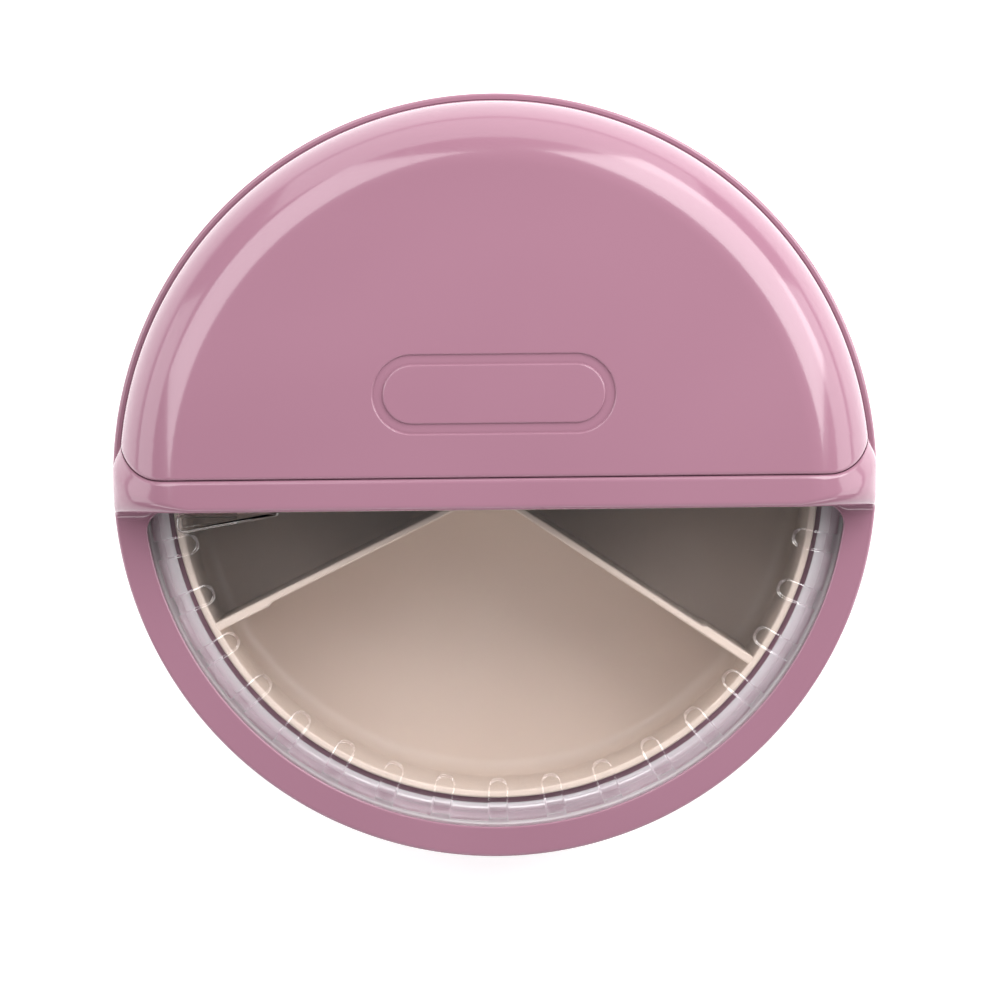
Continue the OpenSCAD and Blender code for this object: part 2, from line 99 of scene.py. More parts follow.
def rounded(corners, steps=6, support=0.12, closed=True):
    # A path through corners (a, b, radius), each rounded, with a support point beside each round
    out = []
    n = len(corners)
    for k, (a, b, radius) in enumerate(corners):
        here = np.array([a, b], float)
        ends = not closed and k in (0, n - 1)
        if radius <= 0 or ends:
            out.append(here)
            continue
        back = np.array(corners[k - 1][:2]) - here
        ahead = np.array(corners[(k + 1) % n][:2]) - here
        backL, aheadL = np.linalg.norm(back), np.linalg.norm(ahead)
        back, ahead = back / backL, ahead / aheadL
        half = math.acos(np.clip(back @ ahead, -1, 1)) / 2
        if half > math.pi / 2 - 0.01:
            out.append(here)
            continue
        reach = min(radius / math.tan(half), 0.49 * backL, 0.49 * aheadL)
        radius = reach * math.tan(half)
        mid = back + ahead
        centre = here + mid / np.linalg.norm(mid) * radius / math.sin(half)
        start, end = here + back * reach, here + ahead * reach
        a0 = math.atan2(*(start - centre)[::-1])
        a1 = math.atan2(*(end - centre)[::-1])
        sweep = (a1 - a0 + math.pi) % (2 * math.pi) - math.pi
        if backL - reach > 4 * support:
            out.append(start + back * support)
        for i in range(steps + 1):
            t = a0 + sweep * i / steps
            out.append(centre + radius * np.array([math.cos(t), math.sin(t)]))
        if aheadL - reach > 4 * support:
            out.append(end + ahead * support)
    return np.array(out)


def ease(t):
    return t * t * (3 - 2 * t)


def roundPath(a, b, radius, start, stop, count):
    # Points round (a, b), with angles in radians from the second axis towards the first
    return [(a + radius * math.sin(t), b + radius * math.cos(t)) for t in np.linspace(start, stop, count)]


def lathe(shell, profile, turn):
    # A closed profile turned about the axis; points on the axis become poles
    rings = []
    for r, z in profile:
        if r < 1e-6:
            rings.append(addLoop(shell, [(0, 0, z)]) * len(turn))
        else:
            rings.append(addLoop(shell, ringPoints(r, z, turn)))
    for a, b in zip(rings, rings[1:] + rings[:1]):
        bridge(shell, a, b)
    return rings


def offsetLoop(loop, amount):
    # A flat closed loop moved sideways: outwards for a positive amount
    flat = np.array(loop)[:, :2]
    ahead, back = np.roll(flat, -1, 0) - flat, flat - np.roll(flat, 1, 0)
    ahead /= np.linalg.norm(ahead, axis=1)[:, None]
    back /= np.linalg.norm(back, axis=1)[:, None]
    side = np.column_stack([(ahead + back)[:, 1], -(ahead + back)[:, 0]])
    side /= np.linalg.norm(side, axis=1)[:, None]
    stretch = 1 / np.clip((side * np.column_stack([ahead[:, 1], -ahead[:, 0]])).sum(1), 0.5, 1)
    area = (flat[:, 0] * np.roll(flat[:, 1], -1) - flat[:, 1] * np.roll(flat[:, 0], -1)).sum()
    return flat + side * (stretch * amount * (1 if area > 0 else -1))[:, None]


def atHeight(flat, z):
    return np.column_stack([flat, np.full(len(flat), z) if np.isscalar(z) else z])


def makePiece(name, shell, sharp=40):
    mesh = bpy.data.meshes.new(name)
    mesh.from_pydata([tuple(c * mm for c in p) for p in shell["points"]], [], shell["faces"])
    work = bmesh.new()
    work.from_mesh(mesh)
    bmesh.ops.remove_doubles(work, verts=work.verts, dist=mergeGap)
    bmesh.ops.recalc_face_normals(work, faces=work.faces)
    openEdges = sum(1 for e in work.edges if len(e.link_faces) != 2)
    work.to_mesh(mesh)
    work.free()
    mesh.shade_smooth()
    mesh.set_sharp_from_angle(angle=math.radians(sharp))
    piece = bpy.data.objects.new(name, mesh)
    bpy.context.scene.collection.objects.link(piece)
    print(f"{name}: {len(mesh.polygons)} faces, {openEdges} open edges")
    return piece


def turned(name, profile):
    shell = newShell()
    lathe(shell, profile, fullTurn)
    return makePiece(name, shell)


def settle(piece, material, body, slotName, *nodes):
    if material:
        piece.data.materials.clear()
        piece.data.materials.append(material)
    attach(piece, body)
    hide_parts(*nodes)
    return piece


def newGroup(name, inputs, outputs):
    group = bpy.data.node_groups.new(name, "ShaderNodeTree")
    for label, value in inputs.items():
        kind = "NodeSocketVector" if label == "Vector" else "NodeSocketFloat"
        socket = group.interface.new_socket(name=label, in_out="INPUT", socket_type=kind)
        if label != "Vector":
            socket.default_value = value
    for label, kind in outputs.items():
        group.interface.new_socket(name=label, in_out="OUTPUT", socket_type=kind)
    start = group.nodes.new("NodeGroupInput")
    end = group.nodes.new("NodeGroupOutput")
    return group, start, end


def addNode(tree, kind, values=None, **settings):
    node = tree.nodes.new(kind)
    for key, value in settings.items():
        setattr(node, key, value)
    for key, value in (values or {}).items():
        node.inputs[key].default_value = value
    return node


def mathNode(tree, operation, first, second=None, clamp=False):
    node = addNode(tree, "ShaderNodeMath", operation=operation, use_clamp=clamp)
    for k, value in enumerate((first, second)):
        if value is None:
            continue
        if isinstance(value, (int, float)):
            node.inputs[k].default_value = value
        else:
            tree.links.new(value, node.inputs[k])
    return node.outputs[0]


def spanNode(tree, value, fromLow, fromHigh, toLow, toHigh):
    node = addNode(tree, "ShaderNodeMapRange", {"From Min": fromLow, "From Max": fromHigh,
                                                "To Min": toLow, "To Max": toHigh})
    tree.links.new(value, node.inputs["Value"])
    return node.outputs["Result"]


def mouldedSkinGroup():
    # Fine orange-peel height of a moulded face, and a slow drift of its colour
    group, start, end = newGroup("mouldedSkin", {"Vector": None, "Peel Size": 900.0, "Drift Size": 14.0},
                                 {"Height": "NodeSocketFloat", "Drift": "NodeSocketFloat"})
    link = group.links.new
    peel = addNode(group, "ShaderNodeTexNoise", {"Detail": 3.0, "Roughness": 0.55})
    drift = addNode(group, "ShaderNodeTexNoise", {"Detail": 2.0, "Distortion": 0.6})
    link(start.outputs["Vector"], peel.inputs["Vector"])
    link(start.outputs["Peel Size"], peel.inputs["Scale"])
    link(start.outputs["Vector"], drift.inputs["Vector"])
    link(start.outputs["Drift Size"], drift.inputs["Scale"])
    link(peel.outputs["Fac"], end.inputs["Height"])
    link(spanNode(group, drift.outputs["Fac"], 0.3, 0.7, 0, 1), end.inputs["Drift"])
    return group


def handlingGroup():
    # Faint smudges and hairline scratches from use: a mask for roughness and one for height
    group, start, end = newGroup("handling", {"Vector": None, "Smudge Size": 30.0, "Scratch Size": 260.0},
                                 {"Smudge": "NodeSocketFloat", "Scratch": "NodeSocketFloat"})
    link = group.links.new
    smudge = addNode(group, "ShaderNodeTexNoise", {"Detail": 5.0, "Roughness": 0.62, "Distortion": 1.2})
    link(start.outputs["Vector"], smudge.inputs["Vector"])
    link(start.outputs["Smudge Size"], smudge.inputs["Scale"])
    stretch = addNode(group, "ShaderNodeMapping", {"Rotation": (0, 0, 0.6), "Scale": (1, 0.06, 0.4)})
    hair = addNode(group, "ShaderNodeTexNoise", {"Detail": 2.0, "Roughness": 0.5})
    link(start.outputs["Vector"], stretch.inputs["Vector"])
    link(stretch.outputs["Vector"], hair.inputs["Vector"])
    link(start.outputs["Scratch Size"], hair.inputs["Scale"])
    link(spanNode(group, smudge.outputs["Fac"], 0.42, 0.72, 0, 1), end.inputs["Smudge"])
    link(spanNode(group, hair.outputs["Fac"], 0.66, 0.72, 0, 1), end.inputs["Scratch"])
    return group


skinGroup, markGroup = mouldedSkinGroup(), handlingGroup()


def linear(red, green, blue):
    return [((c / 255 + 0.055) / 1.055) ** 2.4 for c in (red, green, blue)] + [1.0]


def moulded(name, look):
    # A moulded plastic: colour drift, orange peel, smudges and hairline scratches
    material = bpy.data.materials.new(name)
    material.use_nodes = True
    tree = material.node_tree
    link = tree.links.new
    shader = tree.nodes["Principled BSDF"]
    place = addNode(tree, "ShaderNodeTexCoord")
    centre = addNode(tree, "ShaderNodeMapping", {"Location": look.get("shift", (0, 0, 0))})
    link(place.outputs["Object"], centre.inputs["Vector"])
    skin = addNode(tree, "ShaderNodeGroup", node_tree=skinGroup)
    marks = addNode(tree, "ShaderNodeGroup", node_tree=markGroup)
    skin.inputs["Peel Size"].default_value = look["peelSize"]
    skin.inputs["Drift Size"].default_value = look["driftSize"]
    for group in (skin, marks):
        link(centre.outputs["Vector"], group.inputs["Vector"])
    tint = addNode(tree, "ShaderNodeMix", {"A": look["light"], "B": look["deep"]}, data_type="RGBA")
    link(skin.outputs["Drift"], tint.inputs["Factor"])
    link(tint.outputs["Result"], shader.inputs["Base Color"])
    gloss = mathNode(tree, "MULTIPLY", marks.outputs["Smudge"], look["smudge"])
    nicks = mathNode(tree, "MULTIPLY", marks.outputs["Scratch"], look["scratch"])
    total = mathNode(tree, "ADD", mathNode(tree, "ADD", gloss, nicks), look["roughness"])
    link(total, shader.inputs["Roughness"])
    relief = mathNode(tree, "SUBTRACT", skin.outputs["Height"],
                      mathNode(tree, "MULTIPLY", marks.outputs["Scratch"], 0.5))
    bump = addNode(tree, "ShaderNodeBump", {"Strength": look["bump"], "Distance": peelHeight})
    link(relief, bump.inputs["Height"])
    link(bump.outputs["Normal"], shader.inputs["Normal"])
    shader.inputs["IOR"].default_value = look.get("ior", 1.5)
    shader.inputs["Subsurface Weight"].default_value = look.get("depth", 0)
    shader.inputs["Subsurface Radius"].default_value = (0.002, 0.0012, 0.001)
    shader.inputs["Metallic"].default_value = look.get("metallic", 0)
    shader.inputs["Coat Weight"].default_value = look.get("coat", 0)
    shader.inputs["Coat Roughness"].default_value = 0.06
    return material, tree, shader


pinkLook = {"light": linear(151, 109, 126), "deep": linear(147, 105, 122), "peelSize": 700, "driftSize": 12,
            "roughness": 0.14, "smudge": 0.05, "scratch": 0.06, "bump": 0.06, "coat": 0.35}
creamLook = {"light": linear(211, 196, 184), "deep": linear(206, 190, 177), "peelSize": 600, "driftSize": 16,
             "roughness": 0.3, "smudge": 0.06, "scratch": 0.05, "bump": 0.15}
footLook = {"light": linear(205, 150, 168), "deep": linear(198, 143, 160), "peelSize": 1500, "driftSize": 20,
            "roughness": 0.62, "smudge": 0.1, "scratch": 0.0, "bump": 0.4}
bearingLook = {"light": linear(240, 240, 236), "deep": linear(234, 234, 229), "peelSize": 900, "driftSize": 20,
               "roughness": 0.38, "smudge": 0.08, "scratch": 0.06, "bump": 0.12}
steelLook = {"light": linear(196, 197, 200), "deep": linear(180, 181, 185), "peelSize": 2200, "driftSize": 60,
             "roughness": 0.26, "smudge": 0.08, "scratch": 0.12, "bump": 0.25, "metallic": 1.0}
springLook = {**steelLook, "roughness": 0.2, "peelSize": 3000}

pinkPlastic = moulded("pinkPlastic", pinkLook)[0]
creamPlastic = moulded("creamPlastic", creamLook)[0]
softFoot = moulded("softFoot", footLook)[0]
bearingPlastic = moulded("bearingPlastic", bearingLook)[0]
screwSteel = moulded("screwSteel", steelLook)[0]
springSteel = moulded("springSteel", springLook)[0]

def clearMaterial(name, clear):
    look = {"light": linear(250, 249, 251), "deep": linear(248, 247, 250), "peelSize": 300, "driftSize": 12,
            "roughness": 0.012, "smudge": 0.02, "scratch": 0.03, "bump": 0.05, "ior": 1.52}
    material, tree, shader = moulded(name, look)
    link = tree.links.new
    shader.inputs["Transmission Weight"].default_value = clear
    shader.inputs["Coat Weight"].default_value = 1.0
    shader.inputs["Coat IOR"].default_value = 1.9
    shader.inputs["Coat Roughness"].default_value = 0.02
    # Light passes almost straight through, so the tray below isn't in full shade
    through = addNode(tree, "ShaderNodeBsdfTransparent", {"Color": (0.93, 0.925, 0.92, 1)})
    rays = addNode(tree, "ShaderNodeLightPath")
    mix = addNode(tree, "ShaderNodeMixShader")
    link(rays.outputs["Is Shadow Ray"], mix.inputs["Fac"])
    link(shader.outputs["BSDF"], mix.inputs[1])
    link(through.outputs["BSDF"], mix.inputs[2])
    link(mix.outputs["Shader"], tree.nodes["Material Output"].inputs["Surface"])
    return material


clearPlastic = clearMaterial("clearPlastic", 1.0)
paintedLightRimPlastic = clearMaterial("paintedLightRimPlastic", 0.7)  # painted light: the lid's rounded rim gets a partly white diffuse skin that stands in for light the clear rim carries in from the lit ledge below
print("materials made")


baseSize = {"r": 82.5, "round": 18, "wall": 2.2, "bottom": 0.6, "top": 25.3, "edge": 1.2,
            "supportR": 50, "supportT": 2, "supportTop": 4.4, "footR": 59.5, "footW": 5}
fullTurn = np.radians(np.linspace(0, 360, 360, endpoint=False))


def baseShell(s):
    floor, inR = s["bottom"] + s["wall"], s["r"] - s["wall"]
    profile = rounded([
        (0, s["bottom"], 0), (s["footR"] - s["footW"] / 2 - 0.1, s["bottom"], 0.2),
        (s["footR"] - s["footW"] / 2 - 0.1, s["bottom"] + 1.1, 0),
        (s["footR"] + s["footW"] / 2 + 0.1, s["bottom"] + 1.1, 0),
        (s["footR"] + s["footW"] / 2 + 0.1, s["bottom"], 0.2),
        (s["r"], s["bottom"], s["round"]), (s["r"], s["top"], s["edge"]), (inR, s["top"], 0.3),
        (inR, floor, s["round"] - s["wall"]), (s["supportR"] + s["supportT"], floor, 0.3),
        (s["supportR"] + s["supportT"], s["supportTop"], 0.3), (s["supportR"], s["supportTop"], 0.3),
        (s["supportR"], floor, 0.3), (0, floor, 0)], steps=12)
    return turned("baseBowl", profile)


settle(baseShell(baseSize), pinkPlastic, "base", "pink_plastic", "base_shell")

rimSize = {"spigotIn": 75.6, "spigotOut": 77.6, "top": 32.3, "joint": 25.3, "land": 6, "landR": 80.2, "wall": 2.2,
           "ledgeIn": 70.4, "ledge": 1.5}


def baseRim(s):
    under = s["joint"] - s["wall"]
    profile = rounded([
        (s["spigotIn"], under, 0.3), (s["landR"] - s["wall"], under, 0.4),
        (s["landR"] - s["wall"], s["joint"] - s["land"], 0.3), (s["landR"], s["joint"] - s["land"], 0.4),
        (s["landR"], s["joint"], 0.3), (s["spigotOut"], s["joint"], 0.3), (s["spigotOut"], s["top"], 0.5),
        (s["ledgeIn"], s["top"], 0.5), (s["ledgeIn"], s["top"] - s["ledge"], 0.5),
        (s["spigotIn"], s["top"] - s["ledge"], 0.6)], steps=4)
    return turned("baseSpigot", profile)


settle(baseRim(rimSize), pinkPlastic, "base", "pink_plastic", "base_rim")

footSize = {"in": 57, "out": 62, "top": 1.7, "groove": 0.8, "deep": 0.25}


def footRing(s):
    mid = (s["in"] + s["out"]) / 2
    profile = rounded([
        (s["in"], 0, 0.5), (mid - s["groove"] / 2, 0, 0.1), (mid - s["groove"] / 2, s["deep"], 0.1),
        (mid + s["groove"] / 2, s["deep"], 0.1), (mid + s["groove"] / 2, 0, 0.1),
        (s["out"], 0, 0.5), (s["out"], s["top"], 0.2), (s["in"], s["top"], 0.2)], steps=4)
    return turned("footRing", profile)


settle(footRing(footSize), softFoot, "base", "silicone", "foot_ring")

ringSize = {"out": 79.7, "bore": 77.9, "flangeIn": 75.9, "under": 27.0, "top": 33.3, "flange": 0.9, "gap": 3}


def turnRing(s):
    profile = rounded([
        (s["bore"], s["under"], 0.4), (s["out"], s["under"], 0.4), (s["out"], s["top"], 0.25),
        (s["flangeIn"], s["top"], 0.3), (s["flangeIn"], s["top"] - s["flange"], 0.3),
        (s["bore"], s["top"] - s["flange"], 0.3)], steps=4)
    half = s["gap"] / 2 / s["out"]
    shell = newShell()
    sections = []
    for turn in np.linspace(half, 2 * math.pi - half, 361):
        section = np.column_stack([profile[:, 0] * math.cos(turn), profile[:, 0] * math.sin(turn), profile[:, 1]])
        sections.append(addLoop(shell, section))
    for a, b in zip(sections, sections[1:]):
        bridge(shell, a, b)
    for end in (sections[0], sections[-1]):
        shell["faces"].append(tuple(end))
    return makePiece("turnRing", shell)


settle(turnRing(ringSize), bearingPlastic, "turn_ring", "white_plastic", "turn_ring")
print("base done")


traySize = {"r": 70.1, "bore": 68.5, "top": 39.5, "under": 4.4, "floor": 6.0, "round": 4, "draft": 0.8,
            "wall": 1.6, "lugR": 51, "lugW": 5.4, "lugL": 4, "lugZ": 3.1}


def tray(s):
    floorR = s["bore"] - s["draft"]
    profile = rounded([
        (0, s["under"], 0), (floorR + s["wall"], s["under"], s["round"] + s["wall"]), (s["r"], s["top"], 0.55),
        (s["bore"], s["top"], 0.55), (floorR, s["floor"], s["round"]), (0, s["floor"], 0)], steps=14)
    shell = newShell()
    lathe(shell, profile, fullTurn)
    for k in range(3):
        turn = math.radians(30 + 120 * k)
        near, far, half = s["lugR"] - s["lugL"] / 2, s["lugR"] + s["lugL"] / 2, s["lugW"] / 2
        block = rounded([(near, -half, 0.6), (far, -half, 0.6), (far, half, 0.6), (near, half, 0.6)], steps=3)
        spin = np.array([[math.cos(turn), math.sin(turn)], [-math.sin(turn), math.cos(turn)]])
        flat = block @ spin
        rings = stack(shell, [atHeight(offsetLoop(flat, -0.3), s["lugZ"]), atHeight(flat, s["lugZ"] + 0.3),
                              atHeight(flat, s["under"] + 0.2)])
        fillFlat(shell, [rings[0]])
        fillFlat(shell, [rings[-1]])
    return makePiece("tray", shell)


settle(tray(traySize), creamPlastic, "base", "cream_plastic", "tray")

dividerSize = {"hubX": -1.2, "hubY": -3.2, "near": 2.0, "t": 1.45, "top": 39.3, "floor": 6.05, "wallSlot": 0.4,
               "padL": 11, "padT": 0.5, "padEnd": 0.9, "edge": 0.45, "from": 86, "step": 120}


def divider(s, k):
    turn = math.radians(s["from"] + s["step"] * k)
    heading = np.array([math.cos(turn), math.sin(turn)])
    along = s["hubX"] * heading[0] + s["hubY"] * heading[1]
    hubFar = s["hubX"] ** 2 + s["hubY"] ** 2

    def reach(r):
        return -along + math.sqrt(r * r - hubFar + along * along)

    floorR, roundR = traySize["bore"] - traySize["draft"], traySize["round"]
    lowEnd, wallEnd = reach(floorR - roundR), reach(floorR) - 0.1
    topEnd = reach(traySize["bore"]) + s["wallSlot"]
    padFrom = topEnd - s["wallSlot"] - s["padEnd"] - s["padL"]
    stations = np.unique(np.concatenate([
        np.linspace(s["near"], padFrom - 1.2, 24), np.linspace(padFrom - 1, padFrom, 6),
        np.linspace(padFrom + 0.4, lowEnd, 8),
        lowEnd + (wallEnd - lowEnd) * np.sin(np.linspace(0, math.pi / 2, 9))]))
    shell = newShell()
    rings = []
    height = s["top"] - s["floor"]
    for d in stations:
        rise = max(0.0, d - lowEnd)
        low = s["floor"] + roundR - math.sqrt(max(0.0, roundR ** 2 - min(rise, roundR) ** 2))
        pad = s["padT"] * np.clip((d - padFrom + 1) / 1.0, 0, 1)
        left, right = s["t"] / 2 + pad, -s["t"] / 2
        section = rounded([(right, low, 0.1), (left, low, 0.1), (left, s["top"], s["edge"]),
                           (right, s["top"], s["edge"])], steps=4)
        side = np.array([-heading[1], heading[0]])
        flat = np.array([s["hubX"], s["hubY"]]) + d * heading + section[:, :1] * side
        rings.append(addLoop(shell, np.column_stack([flat, section[:, 1]])))
    # The last stretch leans with the tray's wall and enters its slot
    last = np.array([shell["points"][i] for i in rings[-1]])
    lean = (last[:, 2] - s["floor"]) / height
    for out in (0.5, 1.0):
        moved = last.copy()
        moved[:, :2] += heading * (np.clip(lean, 0, 1) * (topEnd - wallEnd - 0.1) * out + 0.1 * out)[:, None]
        rings.append(addLoop(shell, moved))
    for a, b in zip(rings, rings[1:]):
        bridge(shell, a, b)
    shell["faces"].append(tuple(rings[0]))
    shell["faces"].append(tuple(rings[-1]))
    return makePiece(("dividerRear", "dividerLeft", "dividerRight")[k], shell)


for k, node in enumerate(("divider_rear", "divider_left", "divider_right")):
    settle(divider(dividerSize, k), creamPlastic, "base", "cream_plastic", node)
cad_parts["divider_hub"].data.materials.clear()
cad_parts["divider_hub"].data.materials.append(creamPlastic)
print("tray and dividers done")


coverSize = {"r": 82.5, "edge": 1.2, "grooveDeep": 0.35, "grooveIn": 80.9, "top": 44.0, "plateUnder": 42.2,
             "skirtLow": 25.8, "skirtIn": 80.0, "beadIn": 78.6, "beadTop": 26.7, "stepZ": 33.6, "stepIn": 79.2,
             "windowR": 76.1, "lipOut": 77.9, "lipLow": 36.0, "barW": 6.9, "corner": 4.3, "windowEdge": 0.35,
             "bossR": 4.68, "bossBore": 3.08, "bossTop": 48, "seatR": 4.2, "seatTop": 47, "seatHole": 1.7,
             "headHole": 3.0, "headTop": 45.2, "screwR": 58, "screwTurns": (35, 70, 110, 145), "clickX": -14,
             "clickY": 68.5, "clickR": 2.75}
domeSize = {"flatR": 67.05, "rootR": 80.95, "round": 13.9, "top": 60.0, "wall": 2.2, "corner": 9.0, "seam": 0.12,
            "low": 44.03, "spacing": 0.62, "levels": 96, "edge": 0.6, "panelY": 18, "panelL": 52, "panelW": 17,
            "lineW": 2.2, "lineDeep": 0.5, "lineSoft": 0.3}
barSize = {"frontRound": 1.1, "rearRound": 1.0, "endRound": 4.0, "endFrom": 66, "endSpan": 12, "bowFrom": 45,
           "footRound": 2.1, "footFrom": 72.5, "footSpan": 3, "footLeast": 0.05, "flare": 1.45, "flareFrom": 72,
           "flareDeep": 5.0, "foot": 42.25, "wall": 2.2, "ledge": 1.6, "hollow": 70.0}


def domeZ(r, inset=0.0):
    s = domeSize
    beyond = np.clip(np.asarray(r, float) - s["flatR"], 0, s["round"] - inset)
    return s["top"] - s["round"] + np.sqrt((s["round"] - inset) ** 2 - beyond ** 2)


def domeCornerCurve(gap):
    # The rounded corner of the dome's plan, from the straight edge to the foot circle
    s = domeSize
    radius = s["corner"] + s["seam"] - gap
    cy = s["corner"] + s["seam"]
    cx = math.sqrt((s["rootR"] - s["corner"] + 2 * s["seam"]) ** 2 - cy * cy)
    lean = math.atan2(cy, cx)
    far = math.hypot(cx, cy)
    swing = math.acos((s["rootR"] ** 2 - far ** 2 - radius ** 2) / (2 * far * radius))
    turn = np.linspace(-math.pi / 2, lean - swing, 40)
    return np.column_stack([cx + radius * np.cos(turn), cy + radius * np.sin(turn)])


def sampled(path, spacing):
    path = np.asarray(path)
    gaps = np.linalg.norm(np.diff(path, axis=0), axis=1)
    run = np.concatenate([[0], np.cumsum(gaps)])
    count = max(2, int(round(run[-1] / spacing)) + 1)
    at = np.linspace(0, run[-1], count)
    return np.column_stack([np.interp(at, run, path[:, k]) for k in range(path.shape[1])])


def coverPlate(s):
    shell = newShell()
    out = math.asin((s["barW"] + s["corner"]) / (s["windowR"] - s["corner"]))
    front = np.linspace(math.pi + out, 2 * math.pi - out, 240)
    rear = np.linspace(-out, math.pi + out, 260)[1:-1]
    turn = np.concatenate([front, rear + 2 * math.pi])
    nFront = len(front)

    # Outer skirt and its bead, then the underside in to the lip
    skirt = rounded([
        (s["r"] - s["edge"] - 0.1, s["top"], 0), (s["r"], s["top"], s["edge"]), (s["r"], s["skirtLow"], 0.5),
        (s["beadIn"], s["skirtLow"], 0.4), (s["beadIn"], s["beadTop"], 0.3), (s["skirtIn"], s["beadTop"], 0),
        (s["skirtIn"], s["stepZ"], 0), (s["stepIn"], s["stepZ"], 0.2), (s["stepIn"], s["plateUnder"], 0.2),
        (s["lipOut"], s["plateUnder"], 0.2), (s["lipOut"], s["lipLow"], 0.6), (s["windowR"], s["lipLow"], 0.6),
        (s["windowR"], s["plateUnder"], 0)], steps=6, closed=False)
    # A groove runs round the dome's foot and fades out at the bar
    behind = np.clip((np.sin(turn) - 0.06) / 0.06, 0, 1)
    groove = [(s["grooveIn"] - 0.5, 0), (s["grooveIn"] - 0.1, 0), (s["grooveIn"], 0.9), (s["grooveIn"] + 0.12, 1),
              (s["r"] - s["edge"] - 0.22, 1), (s["r"] - s["edge"] - 0.12, 0.9), (s["r"] - s["edge"] - 0.1, 0.2)]
    groove = [atHeight(ringPoints(r, 0, turn)[:, :2], s["top"] - share * s["grooveDeep"] * behind)
              for r, share in groove]
    rings = stack(shell, groove + [ringPoints(r, z, turn) for r, z in skirt])
    top, lip = rings[0], rings[-1]

    # The window: the lip's front stations go up to the top, the corners and the chord start at the plate
    cy = -s["barW"] - s["corner"]
    cx = math.sqrt((s["windowR"] - s["corner"]) ** 2 - cy * cy)
    sweep = np.linspace(-out, math.pi / 2, 14)[1:]
    corner = np.column_stack([cx + s["corner"] * np.cos(sweep), cy + s["corner"] * np.sin(sweep)])
    back = np.array([[cx - 0.4, -s["barW"] + 0.3]])
    right = np.concatenate([corner, back])
    left = right[::-1] * [-1, 1]
    chord = np.concatenate([right, left])
    window = np.concatenate([ringPoints(s["windowR"], 0, front)[:, :2], chord])
    low = lip[:nFront] + addLoop(shell, atHeight(chord, s["plateUnder"]))
    e = s["windowEdge"]
    rise = [(0, s["top"] - e)] + [(e - e * math.cos(a), s["top"] - e + e * math.sin(a))
                                  for a in np.radians([22.5, 45, 67.5, 90])] + [(e + 0.12, s["top"])]
    edges = stack(shell, [atHeight(offsetLoop(window, grow), z) for grow, z in rise])
    bridge(shell, low, edges[0])

    # What goes through the plate under the dome: the boss, the screw seats, the click spring's slot
    upper, lower = [], []
    tubes = [(0, 0, [(s["bossR"], s["top"]), (s["bossR"], s["bossTop"] - 0.3), (s["bossR"] - 0.3, s["bossTop"]),
                     (s["bossBore"], s["bossTop"]), (s["bossBore"], s["plateUnder"])])]
    for a in s["screwTurns"]:
        x, y = s["screwR"] * math.cos(math.radians(a)), s["screwR"] * math.sin(math.radians(a))
        tubes.append((x, y, [(s["seatR"], s["top"]), (s["seatR"] - 0.2, s["seatTop"]),
                             (s["seatHole"], s["seatTop"]), (s["seatHole"], s["headTop"]),
                             (s["headHole"], s["headTop"]), (s["headHole"], s["plateUnder"])]))
    for x, y, walls in tubes:
        loops = stack(shell, [circleAt(x, y, r, z) for r, z in walls])
        upper.append(loops[0])
        lower.append(loops[-1])
    slotPlan = rounded([(s["clickX"] + 3.05, s["clickY"] - 2.8, 0.4), (3.05, s["clickY"] - 2.8, 0.4),
                        (3.05, s["clickY"] + 2.8, 0.4), (s["clickX"] + 3.05, s["clickY"] + 2.8, 0.4)], steps=3)
    loops = stack(shell, [atHeight(slotPlan, s["top"]), atHeight(slotPlan, s["plateUnder"])])
    upper.append(loops[0])
    lower.append(loops[-1])
    seat = stack(shell, [circleAt(s["clickX"], s["clickY"], r, z) for r, z in
                         ((s["clickR"], s["top"]), (s["clickR"], s["top"] + 2), (1.3, s["top"] + 2),
                          (1.3, s["plateUnder"] + 0.3))])
    upper.append(seat[0])
    fillFlat(shell, [seat[-1]])
    fillFlat(shell, [top, edges[-1]] + upper)
    chordLow = low[nFront:]
    rearLow = lip[nFront:]
    fillFlat(shell, [[lip[nFront - 1]] + rearLow + [lip[0]] + chordLow[::-1]] + lower)
    return shell


